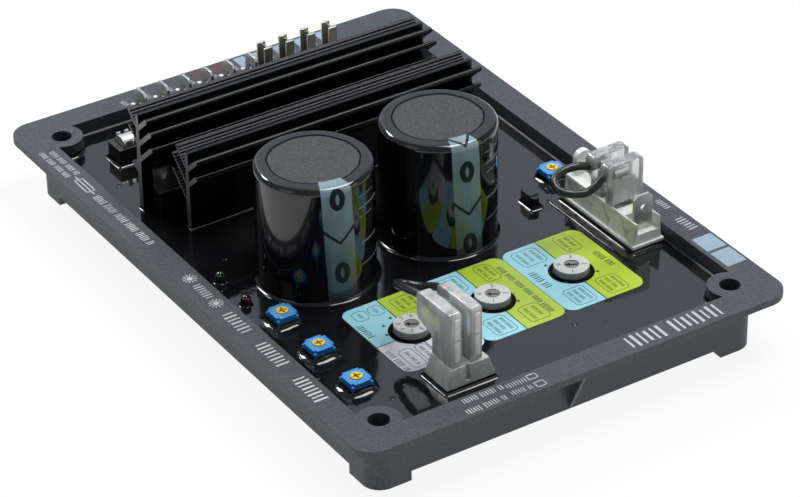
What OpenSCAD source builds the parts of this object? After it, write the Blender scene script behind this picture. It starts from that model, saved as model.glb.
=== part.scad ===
// Potted automatic voltage regulator: a flanged tray filled with resin, with heat sinks, capacitors,
// blade terminals, trimmers, selector dials and two plug-on links standing out of it.
// Millimetres, +Z up, feet on z = 0, the terminal row at the -X end.

/* [Tray] */
// Length of the flange along X
tray_length = 200; // [180:1:240]
// Width of the flange along Y
tray_width = 140; // [126:1:180]
// Height from the feet to the top of the flange
tray_height = 19; // [18:0.5:24]
// Thickness of the flange
flange_thickness = 2.2; // [1.5:0.1:4]
// Corner radius of the flange
flange_corner = 7; // [2:0.5:12]
// Distance from the flange edge in to the box wall
wall_inset = 7; // [6:0.25:7.5]
// Thickness of the box wall
wall_thickness = 1.8; // [1:0.1:2]
// Thickness of the tray floor
floor_thickness = 2; // [1.5:0.1:3]
// Height of the feet below the floor
foot_height = 3; // [1:0.5:4]
// Distance of each fixing hole from the two flange edges beside it
fixing_margin = 12.5; // [12:0.25:14]
// Diameter of the fixing holes
fixing_hole = 6; // [4:0.1:7]
// Radius of the boss round each fixing hole
boss_radius = 6.4; // [5:0.1:7]
// Side of the rounded square feet under the corners
foot_side = 12; // [11.5:0.5:16]
// Thickness of the triangular rib under each short edge of the flange
rib_thickness = 1.2; // [1:0.1:4]

/* [Filling] */
// Depth of the resin surface below the top of the flange
resin_drop = 4.5; // [3.5:0.1:5]
// Thickness of the circuit board
board_thickness = 1.6; // [1:0.1:2]
// Height of the posts under the board
board_standoff = 2.5; // [2:0.1:3]
// Gap between the board and the tray wall
board_margin = 1.5; // [1:0.1:3]
// Shrinkage gap between the resin and what is cast into it
cast_gap = 0.05; // [0.02:0.01:0.1]

/* [Heat sinks] */
// Length of each extrusion along Y
sink_length = 97; // [70:1:100]
// Height of the rear sink above the board
rear_sink_height = 36.9; // [34:0.1:44]
// Height of the front sink above the board
front_sink_height = 30.4; // [28:0.1:30.5]
// Thickness of the stem at the board
stem_thickness = 2.2; // [1.8:0.1:2.4]
// Vertical pitch of the stout fins
fin_pitch = 5.2; // [5:0.1:5.4]
// Vertical pitch of the thin fins
far_fin_pitch = 5.5; // [5.2:0.1:5.6]
// Rise of the fins from the horizontal, in degrees
fin_angle = 42; // [38:1:46]
// Thickness of the stout round-tipped fins on the +X side
near_fin_thickness = 1.5; // [1:0.1:1.6]
// Thickness of the thin ribbed fins on the -X side
far_fin_thickness = 0.9; // [0.6:0.1:1]
// Distance between the two stems
sink_spacing = 16.9; // [16.8:0.1:24]

/* [Power devices] */
// Width of a power device
device_width = 10; // [8:0.5:14]
// Thickness of a power device
device_thickness = 4.4; // [3.5:0.1:4.6]
// Distance between neighbouring power devices
device_pitch = 27; // [20:1:30]

/* [Capacitors] */
// Diameter of a capacitor in its sleeve
can_diameter = 34; // [28:0.5:36]
// Height of a capacitor above the board
can_height = 42.4; // [34:0.1:50]
// Gap between the two capacitors
can_gap = 7; // [5:0.5:10]
// Radius of the rolled rim of the sleeve
rim_radius = 1.8; // [1:0.1:3]
// Diameter of the end disc inside the rim
disc_diameter = 26.5; // [22:0.5:31.5]

/* [Terminals] */
// Width of a terminal blade
blade_width = 6.35; // [4.8:0.05:6.8]
// Thickness of terminal blades
blade_thickness = 0.8; // [0.5:0.05:1]
// Height of the single blades above the board
blade_height = 17.9; // [15:0.1:22]
// Height of the twin terminals above the board
twin_height = 18.9; // [15:0.1:22]
// Width of the two tabs of a twin terminal
twin_width = 2.8; // [2.4:0.1:4]
// Pitch of the terminal row
terminal_pitch = 7.7; // [7.2:0.1:8]
// Diameter of the latch hole in a blade
latch_hole = 1.8; // [1:0.1:2.4]

/* [Trimmers and lamps] */
// Side of a trimmer body
trimmer_side = 6.8; // [6:0.1:8]
// Height of a trimmer body above the board
trimmer_height = 8.9; // [8:0.1:12]
// Diameter of a trimmer rotor
rotor_diameter = 3.4; // [2.6:0.1:4]
// Pitch of the trimmers along the front edge
trimmer_pitch = 19; // [16:0.5:20]
// Diameter of an indicator lamp
lamp_diameter = 3; // [2.6:0.1:4]
// Distance between the two lamps
lamp_pitch = 14.1; // [8:0.1:15]

/* [Selectors] */
// Diameter of a selector dial
dial_diameter = 10.2; // [8:0.1:11]
// Thickness of a selector dial
dial_thickness = 2.3; // [1.5:0.1:4]
// Diameter of a selector housing
housing_diameter = 11.6; // [11.2:0.1:14]
// Pitch of the selectors along Y
selector_pitch = 26.7; // [25:0.1:27]
// Length of a selector label along X
label_length = 35; // [30:0.5:36]
// Thickness of a selector label
label_thickness = 0.15; // [0.1:0.01:0.3]

/* [Links] */
// Diameter of the insulated link wires
wire_diameter = 2.4; // [1.6:0.1:2.6]
// Thickness of the soft boots
boot_thickness = 3.8; // [3.4:0.1:5]
// Distance between the two boots of the front link
front_link_pitch = 6.5; // [5.6:0.1:7]
// Distance between the two boots of the side link
side_link_pitch = 7; // [6:0.1:8]
// Height of the front link block above the board
front_link_block_height = 12.3; // [9:0.1:14]
// Height of the side link block above the board
side_link_block_height = 14.7; // [12:0.1:16]

/* [Fuse] */
// Diameter of the fuse tube
fuse_diameter = 5; // [4.5:0.1:5.4]
// Length of the fuse
fuse_length = 20; // [18:0.5:24]
// Width of the fuse holder
holder_width = 7.4; // [7.2:0.1:9]

/* [Hidden] */
$fn = 64;
eps = 0.01;
run_gap = 0.05;
seat_gap = 0.3;

pocket_x = tray_length / 2 - wall_inset - wall_thickness;
pocket_y = tray_width / 2 - wall_inset - wall_thickness;
hole_x = tray_length / 2 - fixing_margin;
hole_y = tray_width / 2 - fixing_margin;
wall_corner = fixing_margin - wall_inset;
pocket_corner = 3;
foot_corner = 5.4;
flange_bottom = tray_height - flange_thickness;
floor_top = foot_height + floor_thickness;
board_bottom = floor_top + board_standoff;
board_top = board_bottom + board_thickness;
resin_top = tray_height - resin_drop;
post_radius = 2.5;
post_x = pocket_x - 21.2;
post_y = pocket_y - 16.2;

// Places along X: the terminals and the fuse from the -X wall, the selectors and links from the +X
// wall, the cans beside the label, and the sinks in the middle of what is left between
terminal_wall_gap = 5.3;
fuse_row_gap = 13.7;
selector_wall_gap = 39.2;
can_label_gap = 4.6;
sink_shift = 0.2;
trimmer_wall_gap = 63;
front_link_wall_gap = 13.8;
side_link_wall_gap = 54.2;
label_shift = [-0.5, 0.7];
terminal_x = -pocket_x + terminal_wall_gap;
fuse_x = terminal_x + fuse_row_gap;
selector_x = pocket_x - selector_wall_gap;
can_x = selector_x + label_shift[0] - label_length / 2 - can_label_gap - can_diameter / 2;
sink_x = (fuse_x + holder_width / 2 + can_x - can_diameter / 2) / 2 + sink_shift;
rear_stem_x = sink_x - sink_spacing / 2;
front_stem_x = sink_x + sink_spacing / 2;
trimmer_x = pocket_x - trimmer_wall_gap;
front_link_x = pocket_x - front_link_wall_gap;
side_link_x = pocket_x - side_link_wall_gap;

// Places along Y: pieces by the long walls from those walls, and the sinks, cans and selectors by the
// share of the room left on their -Y side
trimmer_edge_gap = 10.2;
lamp_edge_gap = 6.1;
side_trimmer_edge_gap = 7.4;
side_link_edge_gap = 7.1;
signal_link_gap = 14;
fuse_end_gap = 13;
front_link_edge_gap = 35;
side_link_size = [35.3, 10.8];
signal_size = [6.2, 3];
rear_sink_share = 69 / 254;
front_sink_share = 131 / 254;
can_share = 16 / 43;
selector_share = 215 / 324;
trimmer_y = -pocket_y + trimmer_edge_gap;
lamp_y = -pocket_y + lamp_edge_gap;
side_link_y = pocket_y - side_link_edge_gap;
signal_y = side_link_y - signal_link_gap;
front_link_y = -pocket_y + front_link_edge_gap;
sink_room = 2 * pocket_y - sink_length;
rear_sink_y = -pocket_y + rear_sink_share * sink_room + sink_length / 2;
front_sink_y = -pocket_y + front_sink_share * sink_room + sink_length / 2;
can_pitch = can_diameter + can_gap;
can_low = lamp_y + lamp_diameter / 2;
can_room = signal_y - signal_size[1] / 2 - can_low - can_pitch - can_diameter;
can_y = can_low + can_share * can_room + (can_pitch + can_diameter) / 2;
label_low = trimmer_y + trimmer_side / 2;
label_room = side_link_y - side_link_size[1] / 2 - label_low - 3 * selector_pitch;
selector_y = label_low + selector_share * label_room + 1.5 * selector_pitch - label_shift[1];

// Reaches and teeth of the two extrusions
rear_root = 4.8;
front_root = 5.6;
stem_top_thickness = 1.4;
rear_near_reach = [5.9, 8.3, 8.4];
rear_far_reach = [5.2, 5.3];
front_near_reach = [6, 5.8];
front_far_reach = [6.3, 8.5, 8.7];
stub_reach = 4.2;
stub_drop = 18.6;
tooth_pitch = 1.9;
tooth_size = 0.45;

// Power devices, screwed to the +X face of the rear stem
device_count = 3;
device_end_gap = 8.3;
device_start_y = rear_sink_y - sink_length / 2 + device_end_gap;
device_body_height = 9;
device_tab_height = 6.4;
device_tab_thickness = 1.3;
device_bottom = 3;
device_lead_width = 0.9;
device_lead_thickness = 0.6;
device_lead_pitch = 2.54;
device_screw_z = device_bottom + device_body_height + device_tab_height / 2;
screw_diameter = 3;
screw_head_diameter = 5.6;
screw_head_height = 2.2;

// Capacitors, side by side along Y
disc_thickness = 0.8;
ring_groove = 0.5;

// Terminal row: six single blades, then four twins
single_count = 6;
twin_count = 4;
terminal_start_y = -31.1;
twin_offset = [-1.5, -2];
twin_start_y = terminal_start_y + single_count * terminal_pitch + twin_offset[1];
twin_x = terminal_x + twin_offset[0];
twin_span = 5.1;
blade_chamfer = 1.2;
leg_width = 3;
leg_height = 3.5;
latch_drop = 4.2;

// Trimmers: three along the -Y edge, one by the side link block
side_trimmer_gap = 29.4;
trimmer_places = [
    [trimmer_x, trimmer_y],
    [trimmer_x + trimmer_pitch, trimmer_y],
    [trimmer_x + 2 * trimmer_pitch, trimmer_y],
    [side_link_x - side_trimmer_gap, pocket_y - side_trimmer_edge_gap]
];
rotor_depth = 2;
rotor_proud = 0.3;
slot_width = 0.7;
slot_depth = 0.8;
notch = 0.9;

// Lamps along the -Y edge
lamp_trimmer_gap = 26.9;
lamp_x = trimmer_x - lamp_trimmer_gap;
lamp_barrel = 7.1;

// Selectors and their labels
label_corner = 3.5;
label_hole_gap = 0.8;
axle_diameter = 4;
axle_depth = 4;
dial_lift = 0.2;
arrow_depth = 0.6;
arrow_turn = 60;
hub_diameter = 4.4;
hub_depth = 0.2;

// Front link: two blades facing Y, boots reaching back to -X
front_link_size = [11.4, 15.8];
front_link_shift = 0.9;
front_link_taper = [0.6, 1.9];
front_link_blade_rise = 7.5;
front_link_front = 4.6;
front_link_back = 12;
front_link_skirt = 4.6;
front_link_skirt_rise = 5.6;
front_link_boot_height = 16.8;
front_link_flag_rise = 7.6;
front_link_slope = 0.3;
front_link_wire_rise = 14;
front_link_straight = 7.2;
front_link_tilt = 6;

// Side link: three blades facing X, boots reaching back to -Y
side_link_taper = [0.5, 0.5];
side_link_blade_rise = 7.2;
side_link_front = 6.3;
side_link_back = 6.6;
side_link_skirt = 4.6;
side_link_skirt_rise = 5.2;
side_link_boot_height = 13.8;
side_link_flag_rise = 6.6;
side_link_slope = 0.3;
side_link_wire_rise = 9.9;
side_link_straight = 6.6;
side_link_tilt = 0;
side_link_boot_shift = 4.2;
side_link_spare_gap = 10;
side_link_boot_x = [
    side_link_x + side_link_boot_shift - side_link_pitch,
    side_link_x + side_link_boot_shift
];
side_link_blade_x = [side_link_boot_x[0], side_link_boot_x[1], side_link_boot_x[1] + side_link_spare_gap];
ledge_height = 7.6;
ledge_reach = 0.9;
well_size = [6, 8];
well_depth = 4;
facet_count = 4;
facet_depth = 0.7;
tongue_x = -15;
tongue_width = 5.6;
tongue_thickness = 2;
tongue_rise = 7.5;

// Boots, their receptacles and the crimps in them
boot_front_radius = 1.6;
boot_end_radius = 2;
receptacle_wall = 0.4;
receptacle_thickness = blade_thickness + 2 * run_gap + 2 * receptacle_wall;
receptacle_width = blade_width + 2 * run_gap + 2 * receptacle_wall;
receptacle_height = 7.6;
crimp_diameter = 2.6;

// Fuse holder
holder_wall = 2;
holder_length = fuse_length + 2 * holder_wall;
fuse_y = -pocket_y + fuse_end_gap + holder_length / 2;
holder_height = 10.9;
trough_depth = 3.2;
clip_thickness = 0.4;
clip_length = 4;
clip_inset = 0.6;
clip_rise = 5.4;
clip_gap = 0.1;
cap_length = 5;
cap_extra = 0.2;
trough_floor = board_top + holder_height - trough_depth;
fuse_z = trough_floor + clip_thickness + clip_gap + fuse_diameter / 2 + cap_extra;

// Small moulded transistor beside the side link block
signal_row_gap = 20.7;
signal_x = side_link_x - signal_row_gap;
signal_height = 9.6;
signal_nose = 1.5;

// Shared shapes

// A plate with round corners, centred on the Z axis, standing on z = 0
module round_plate(length, width, height, corner) {
    translate([-length / 2 + corner, -width / 2, 0]) cube([length - 2 * corner, width, height]);
    translate([-length / 2, -width / 2 + corner, 0]) cube([length, width - 2 * corner, height]);
    for (sx = [-1, 1], sy = [-1, 1])
        translate([sx * (length / 2 - corner), sy * (width / 2 - corner), 0])
            cylinder(h = height, r = corner);
}

// A block centred on the Z axis, standing on z = 0
module block(length, width, height) {
    translate([-length / 2, -width / 2, 0]) cube([length, width, height]);
}

// A block whose four sides lean in towards its top, by one taper along X and one along Y
module tapered_block(length, width, height, taper) {
    intersection() {
        translate([0, width / 2, 0]) rotate([90, 0, 0]) linear_extrude(width)
            polygon([[-length / 2, 0], [length / 2, 0], [length / 2 - taper[0], height], [-length / 2 + taper[0], height]]);
        translate([-length / 2, 0, 0]) rotate([90, 0, 90]) linear_extrude(length)
            polygon([[-width / 2, 0], [width / 2, 0], [width / 2 - taper[1], height], [-width / 2 + taper[1], height]]);
    }
}

// Tray

module at_fixings() {
    for (sx = [-1, 1], sy = [-1, 1])
        translate([sx * hole_x, sy * hole_y, 0]) children();
}

module at_feet() {
    for (sx = [-1, 1], sy = [-1, 1])
        translate([sx * (tray_length / 2 - wall_inset), sy * (tray_width / 2 - wall_inset), 0]) children();
}

module at_posts() {
    for (sx = [-1, 1], sy = [-1, 1])
        translate([sx * post_x, sy * post_y, 0]) children();
}

module box_outline(bottom, top) {
    translate([0, 0, bottom])
        round_plate(tray_length - 2 * wall_inset, tray_width - 2 * wall_inset, top - bottom, wall_corner);
}

module pocket_outline(bottom, top, gap) {
    difference() {
        translate([0, 0, bottom])
            round_plate(2 * (pocket_x - gap), 2 * (pocket_y - gap), top - bottom, pocket_corner);
        at_fixings() translate([0, 0, bottom - 1]) cylinder(h = top - bottom + 2, r = boss_radius + gap);
    }
}

module flange_rib() {
    wall_x = tray_length / 2 - wall_inset;
    translate([0, rib_thickness / 2, 0]) rotate([90, 0, 0]) linear_extrude(rib_thickness)
        polygon([
            [wall_x - wall_thickness / 2, foot_height],
            [wall_x, foot_height],
            [wall_x + wall_inset - 0.4, flange_bottom + eps],
            [wall_x - wall_thickness / 2, flange_bottom + eps]
        ]);
}

module tray() {
    color("dimgray") {
        difference() {
            union() {
                translate([0, 0, flange_bottom])
                    round_plate(tray_length, tray_width, flange_thickness, flange_corner);
                box_outline(foot_height, tray_height);
                intersection() {
                    at_feet() round_plate(2 * foot_side, 2 * foot_side, foot_height + 1, foot_corner);
                    box_outline(0, tray_height);
                }
                flange_rib();
                mirror([1, 0, 0]) flange_rib();
            }
            pocket_outline(floor_top, tray_height + 1, 0);
            at_fixings() translate([0, 0, -1]) cylinder(h = tray_height + 2, d = fixing_hole);
        }
        at_posts() translate([0, 0, floor_top - eps]) cylinder(h = board_standoff + eps, r = post_radius);
    }
}

module board_outline(gap) {
    difference() {
        translate([0, 0, board_bottom])
            block(2 * (pocket_x - board_margin + gap), 2 * (pocket_y - board_margin + gap), board_thickness);
        at_fixings() translate([0, 0, board_bottom - 1])
            cylinder(h = board_thickness + 2, r = boss_radius + board_margin - gap);
    }
}

module circuit_board() {
    color("darkgreen") board_outline(0);
}

// Everything that stands on the board, as the hole that it leaves in the resin
module cast_in() {
    g = 2 * cast_gap;
    tall = resin_top - board_top + 1;
    translate([0, 0, board_top]) {
        for (sink = [[rear_stem_x, rear_sink_y], [front_stem_x, front_sink_y]])
            translate([sink[0], sink[1], 0]) block(stem_thickness + g, sink_length + g, tall);
        at_devices() translate([device_thickness / 2, 0, device_bottom])
            block(device_thickness + g, device_width + g, tall);
        at_devices() at_leads() block(device_lead_thickness + g, device_lead_width + g, tall);
        at_cans() cylinder(h = tall, d = can_diameter + g);
        at_singles() block(blade_width + g, blade_thickness + g, tall);
        at_twins() block(twin_span + g, twin_width + g, tall);
        at_trimmers() block(trimmer_side + g, trimmer_side + g, tall);
        at_lamps() cylinder(h = tall, d = lamp_diameter + g);
        at_selectors() cylinder(h = tall, d = housing_diameter + g);
        translate([front_link_x, front_link_y + front_link_shift, 0])
            block(front_link_size[0] + g, front_link_size[1] + g, tall);
        translate([side_link_x, side_link_y, 0]) block(side_link_size[0] + g, side_link_size[1] + g, tall);
        translate([fuse_x, fuse_y, 0]) block(holder_width + g, holder_length + g, tall);
        translate([signal_x, signal_y, 0]) block(signal_size[0] + g, signal_size[1] + g, tall);
    }
}

module potting_resin() {
    color("black") difference() {
        pocket_outline(floor_top, resin_top, cast_gap);
        board_outline(cast_gap);
        at_posts() translate([0, 0, floor_top - 1]) cylinder(h = board_standoff + 2, r = post_radius + cast_gap);
        cast_in();
    }
}

// Heat sinks

// One fin of the profile, rising away from the stem to +X
module fin(root, reach, thickness, teeth) {
    run = (reach - thickness / 2) / cos(fin_angle);
    translate([0, root]) rotate(fin_angle) {
        translate([0, -thickness / 2]) square([run, thickness]);
        translate([run, 0]) circle(d = thickness);
        if (teeth)
            for (s = [run - tooth_size : -tooth_pitch : run / 3])
                translate([s - tooth_size / 2, 0]) square([tooth_size, thickness / 2 + tooth_size]);
    }
}

// The tree-shaped section: a tapered stem, stout fins to +X and thin ribbed fins to -X
module sink_section(height, root, near_reach, far_reach, stub) {
    shoulder = height - root - 2 * fin_pitch;
    polygon([
        [-stem_thickness / 2, 0],
        [stem_thickness / 2, 0],
        [stem_thickness / 2, shoulder],
        [stem_top_thickness / 2, height],
        [-stem_top_thickness / 2, height],
        [-stem_thickness / 2, shoulder]
    ]);
    for (i = [0 : len(near_reach) - 1])
        fin(height - root - i * fin_pitch, near_reach[i], near_fin_thickness, false);
    mirror([1, 0]) {
        for (i = [0 : len(far_reach) - 1])
            fin(height - root - i * far_fin_pitch, far_reach[i], far_fin_thickness, true);
        if (stub)
            translate([0, height - stub_drop])
                polygon([[0, -1.6], [stub_reach, 0.4], [stub_reach, 1.4], [0, 1.6]]);
    }
}

module sink(x, y, height, root, near_reach, far_reach, stub) {
    translate([x, y + sink_length / 2, board_top]) rotate([90, 0, 0]) linear_extrude(sink_length)
        sink_section(height, root, near_reach, far_reach, stub);
}

module rear_heat_sink() {
    color("#1b1b1e") difference() {
        sink(rear_stem_x, rear_sink_y, rear_sink_height, rear_root, rear_near_reach, rear_far_reach, true);
        at_devices() translate([1, 0, board_top + device_screw_z]) rotate([0, -90, 0])
            cylinder(h = stem_thickness + 2, d = screw_diameter + 2 * run_gap);
    }
}

module front_heat_sink() {
    color("#1b1b1e")
        sink(front_stem_x, front_sink_y, front_sink_height, front_root, front_near_reach, front_far_reach, false);
}

// Power devices, each on its three leads, held by one screw

module at_devices() {
    for (i = [0 : device_count - 1])
        translate([rear_stem_x + stem_thickness / 2, device_start_y + i * device_pitch, 0]) children();
}

module at_leads() {
    for (i = [-1:1])
        translate([device_thickness / 2, i * device_lead_pitch, 0]) children();
}

module power_device(index) {
    color("#26262a")
        translate([rear_stem_x + stem_thickness / 2, device_start_y + (index - 1) * device_pitch, board_top])
            difference() {
                union() {
                    translate([device_thickness / 2, 0, device_bottom])
                        block(device_thickness, device_width, device_body_height);
                    translate([device_tab_thickness / 2, 0, device_bottom])
                        block(device_tab_thickness, device_width, device_body_height + device_tab_height);
                    at_leads() block(device_lead_thickness, device_lead_width, device_bottom + 1);
                }
                translate([-1, 0, device_screw_z]) rotate([0, 90, 0])
                    cylinder(h = device_thickness + 2, d = screw_diameter + 2 * run_gap);
            }
}

module device_screws() {
    color("silver") translate([0, 0, board_top]) at_devices()
        translate([device_tab_thickness, 0, device_screw_z]) rotate([0, 90, 0]) difference() {
            union() {
                cylinder(h = screw_head_height, d = screw_head_diameter);
                translate([0, 0, -device_tab_thickness - stem_thickness])
                    cylinder(h = device_tab_thickness + stem_thickness + eps, d = screw_diameter);
            }
            translate([0, 0, screw_head_height - slot_depth]) block(slot_width, screw_head_diameter + 1, slot_depth + 1);
        }
}

// Capacitors

module at_cans() {
    for (s = [-1, 1])
        translate([can_x, can_y + s * can_pitch / 2, 0]) children();
}

module capacitor(index) {
    side = 2 * index - 3;
    color("#141417") translate([can_x, can_y + side * can_pitch / 2, board_top]) rotate_extrude() difference() {
        union() {
            square([can_diameter / 2, can_height - rim_radius]);
            square([can_diameter / 2 - rim_radius, can_height]);
            translate([can_diameter / 2 - rim_radius, can_height - rim_radius]) circle(r = rim_radius);
        }
        translate([-1, can_height - disc_thickness]) square([disc_diameter / 2 + run_gap + 1, disc_thickness + 1]);
    }
}

module capacitor_disc(index) {
    side = 2 * index - 3;
    color("#3a3a3f")
        translate([can_x, can_y + side * can_pitch / 2, board_top + can_height - disc_thickness])
            rotate_extrude() difference() {
                square([disc_diameter / 2, disc_thickness / 2]);
                translate([disc_diameter / 2 - ring_groove, disc_thickness / 4]) square([2 * ring_groove, disc_thickness]);
            }
}

// Terminals

module at_singles() {
    for (i = [0 : single_count - 1])
        translate([terminal_x, terminal_start_y + i * terminal_pitch, 0]) children();
}

module at_twins() {
    for (i = [0 : twin_count - 1])
        translate([twin_x, twin_start_y + i * terminal_pitch, 0]) children();
}

// Outline of a blade standing on the board: a narrow leg, a wide blade and a chamfered tip with its latch hole
module blade_outline(height) {
    difference() {
        polygon([
            [-leg_width / 2, 0],
            [leg_width / 2, 0],
            [leg_width / 2, leg_height],
            [blade_width / 2, leg_height],
            [blade_width / 2, height - blade_chamfer],
            [blade_width / 2 - blade_chamfer, height],
            [-blade_width / 2 + blade_chamfer, height],
            [-blade_width / 2, height - blade_chamfer],
            [-blade_width / 2, leg_height],
            [-leg_width / 2, leg_height]
        ]);
        translate([0, height - latch_drop]) circle(d = latch_hole);
    }
}

// A blade in the XZ plane, centred on the Z axis
module blade(height) {
    translate([0, blade_thickness / 2, 0]) rotate([90, 0, 0]) linear_extrude(blade_thickness) blade_outline(height);
}

module terminal(index) {
    color("silver") translate([terminal_x, terminal_start_y + (index - 1) * terminal_pitch, board_top])
        blade(blade_height);
}

// Two tabs of one strip, joined by a web along their +Y side
module twin_terminal(index) {
    color("silver") translate([twin_x, twin_start_y + (index - 1) * terminal_pitch, board_top]) {
        for (s = [-1, 1])
            translate([s * (twin_span - blade_thickness) / 2, 0, 0])
                block(blade_thickness, twin_width, twin_height);
        translate([0, (twin_width - blade_thickness) / 2, 0])
            block(twin_span, blade_thickness, twin_height - blade_chamfer);
    }
}

// Trimmers

module at_trimmers() {
    for (place = trimmer_places)
        translate([place[0], place[1], 0]) children();
}

module trimmer(index) {
    place = trimmer_places[index - 1];
    color("#2a82d6") translate([place[0], place[1], board_top]) difference() {
        block(trimmer_side, trimmer_side, trimmer_height);
        translate([0, 0, trimmer_height - rotor_depth])
            cylinder(h = rotor_depth + 1, d = rotor_diameter + 2 * run_gap);
        for (sx = [-1, 1], sy = [-1, 1])
            translate([sx * trimmer_side / 2, sy * trimmer_side / 2, trimmer_height - notch])
                block(2 * notch, 2 * notch, notch + 1);
    }
}

module trimmer_rotor(index) {
    place = trimmer_places[index - 1];
    rotor_height = rotor_depth + rotor_proud - run_gap;
    color("#f2cf3c")
        translate([place[0], place[1], board_top + trimmer_height - rotor_depth + run_gap]) difference() {
            cylinder(h = rotor_height, d = rotor_diameter);
            for (a = [0, 90])
                rotate(a) translate([0, 0, rotor_height - slot_depth])
                    block(slot_width, rotor_diameter * 0.8, slot_depth + 1);
        }
}

// Indicator lamps

module at_lamps() {
    for (i = [0, 1])
        translate([lamp_x + i * lamp_pitch, lamp_y, 0]) children();
}

module lamp(index) {
    translate([lamp_x + index * lamp_pitch, lamp_y, board_top]) {
        cylinder(h = lamp_barrel, d = lamp_diameter);
        translate([0, 0, lamp_barrel]) sphere(d = lamp_diameter);
    }
}

module green_lamp() {
    color("green") lamp(0);
}

module red_lamp() {
    color("firebrick") lamp(1);
}

// Selectors

function selector_place(index) = [selector_x, selector_y + (index - 2) * selector_pitch];

module at_selectors() {
    for (i = [1:3])
        translate([selector_place(i)[0], selector_place(i)[1], 0]) children();
}

module selector(index) {
    color("#202024") translate([selector_place(index)[0], selector_place(index)[1], board_top]) difference() {
        cylinder(h = resin_top - board_top, d = housing_diameter);
        translate([0, 0, resin_top - board_top - axle_depth - run_gap])
            cylinder(h = axle_depth + 1, d = axle_diameter + 2 * run_gap);
    }
}

// Arrow-shaped screwdriver slot in the hub of a dial
module arrow_slot() {
    linear_extrude(arrow_depth + 1)
        polygon([[-1.8, 0], [-0.5, 1.1], [-0.5, 0.4], [1.7, 0.4], [1.7, -0.4], [-0.5, -0.4], [-0.5, -1.1]]);
}

module selector_dial(index) {
    color("gainsboro") translate([selector_place(index)[0], selector_place(index)[1], resin_top]) difference() {
        union() {
            translate([0, 0, dial_lift]) cylinder(h = dial_thickness, d = dial_diameter);
            translate([0, 0, -axle_depth]) cylinder(h = axle_depth + dial_lift + eps, d = axle_diameter);
        }
        translate([0, 0, dial_lift + dial_thickness - hub_depth]) cylinder(h = hub_depth + 1, d = hub_diameter);
        translate([0, 0, dial_lift + dial_thickness - arrow_depth]) rotate(arrow_turn) arrow_slot();
    }
}

// One sheet of three round-cornered panels, with a hole round each dial
module selector_label() {
    color("#b9dbe0") translate([0, 0, resin_top]) difference() {
        at_selectors() translate([label_shift[0], label_shift[1], 0])
            round_plate(label_length, selector_pitch + eps, label_thickness, label_corner);
        at_selectors() translate([0, 0, -1])
            cylinder(h = label_thickness + 2, d = housing_diameter + 2 * label_hole_gap);
    }
}

// Boots and receptacles, modelled with the blade along X, the wire leaving to -X and z = 0 on the block's top

// Side outline of a boot: a skirt over the blade and a flag that carries the wire out
module boot_outline(front, back, skirt, skirt_rise, height, slope, flag_rise) {
    end_top = height - slope;
    polygon([
        [front, seat_gap],
        [front, height - boot_front_radius],
        [front - boot_front_radius, height],
        [-back + boot_end_radius, end_top],
        [-back, end_top - boot_end_radius],
        [-back, flag_rise + 1],
        [-back + 1, flag_rise],
        [-skirt, skirt_rise],
        [-skirt, seat_gap]
    ]);
    translate([front - boot_front_radius, height - boot_front_radius]) circle(r = boot_front_radius);
    translate([-back + boot_end_radius, end_top - boot_end_radius]) circle(r = boot_end_radius);
}

// A boot hollowed out for its receptacle, the neck above that and the wire
module boot(front, back, skirt, skirt_rise, height, slope, flag_rise, wire_rise, tilt) {
    difference() {
        translate([0, boot_thickness / 2, 0]) rotate([90, 0, 0]) linear_extrude(boot_thickness)
            boot_outline(front, back, skirt, skirt_rise, height, slope, flag_rise);
        block(receptacle_width + 2 * clip_gap, receptacle_thickness + 2 * clip_gap,
            seat_gap + receptacle_height + clip_gap);
        translate([0, 0, receptacle_height])
            block(crimp_diameter + 2 * clip_gap, crimp_diameter + 2 * clip_gap,
                wire_rise + crimp_diameter / 2 + clip_gap - receptacle_height);
        translate([0, 0, wire_rise]) rotate([0, -90 - tilt, 0])
            cylinder(h = back + 2, d = crimp_diameter + 2 * clip_gap);
    }
}

// Folded socket on the blade, a neck and the crimp that takes the wire
module receptacle(back, blade_rise, wire_rise, tilt) {
    neck = seat_gap + receptacle_height;
    difference() {
        translate([0, 0, seat_gap]) block(receptacle_width, receptacle_thickness, receptacle_height);
        block(blade_width + 2 * run_gap, blade_thickness + 2 * run_gap, blade_rise + run_gap);
    }
    translate([0, 0, neck - eps]) block(crimp_diameter * 0.8, receptacle_thickness, wire_rise - neck + eps);
    translate([0, 0, wire_rise]) rotate([0, -tilt, 0]) translate([-back / 2, 0, 0]) rotate([0, 90, 0])
        cylinder(h = back / 2 + crimp_diameter * 0.4, d = crimp_diameter);
}

// Wire of a link: straight out of both crimps, then a half turn, all in one tilted plane
module link_lead(back, straight, pitch, tilt) {
    rotate([0, -tilt, 0]) {
        for (s = [-1, 1])
            translate([-back - straight, s * pitch / 2, 0]) rotate([0, 90, 0])
                cylinder(h = straight + back / 2, d = wire_diameter);
        translate([-back - straight, 0, 0]) rotate(90)
            rotate_extrude(angle = 180) translate([pitch / 2, 0]) circle(d = wire_diameter);
    }
}

// Front link

module at_front_link(side) {
    translate([front_link_x, front_link_y + side * front_link_pitch / 2, 0]) children();
}

module front_link_block() {
    slit = 1.2;
    color("#cfd4d0") translate([front_link_x, front_link_y, board_top]) difference() {
        translate([0, front_link_shift, 0]) union() {
            block(front_link_size[0], front_link_size[1], ledge_height - slit);
            translate([0, 0, ledge_height - slit])
                tapered_block(front_link_size[0], front_link_size[1],
                    front_link_block_height - ledge_height + slit, front_link_taper);
        }
        for (s = [-1, 1])
            translate([0, s * front_link_pitch / 2, -1])
                block(blade_width + 2 * run_gap, blade_thickness + 2 * run_gap, front_link_block_height + 2);
        translate([front_link_size[0] / 2, 0, ledge_height])
            block(2 * slit, slit, front_link_block_height);
    }
}

module front_link_blades() {
    color("silver") translate([0, 0, board_top])
        for (s = [-1, 1])
            at_front_link(s) blade(front_link_block_height + front_link_blade_rise);
}

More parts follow.
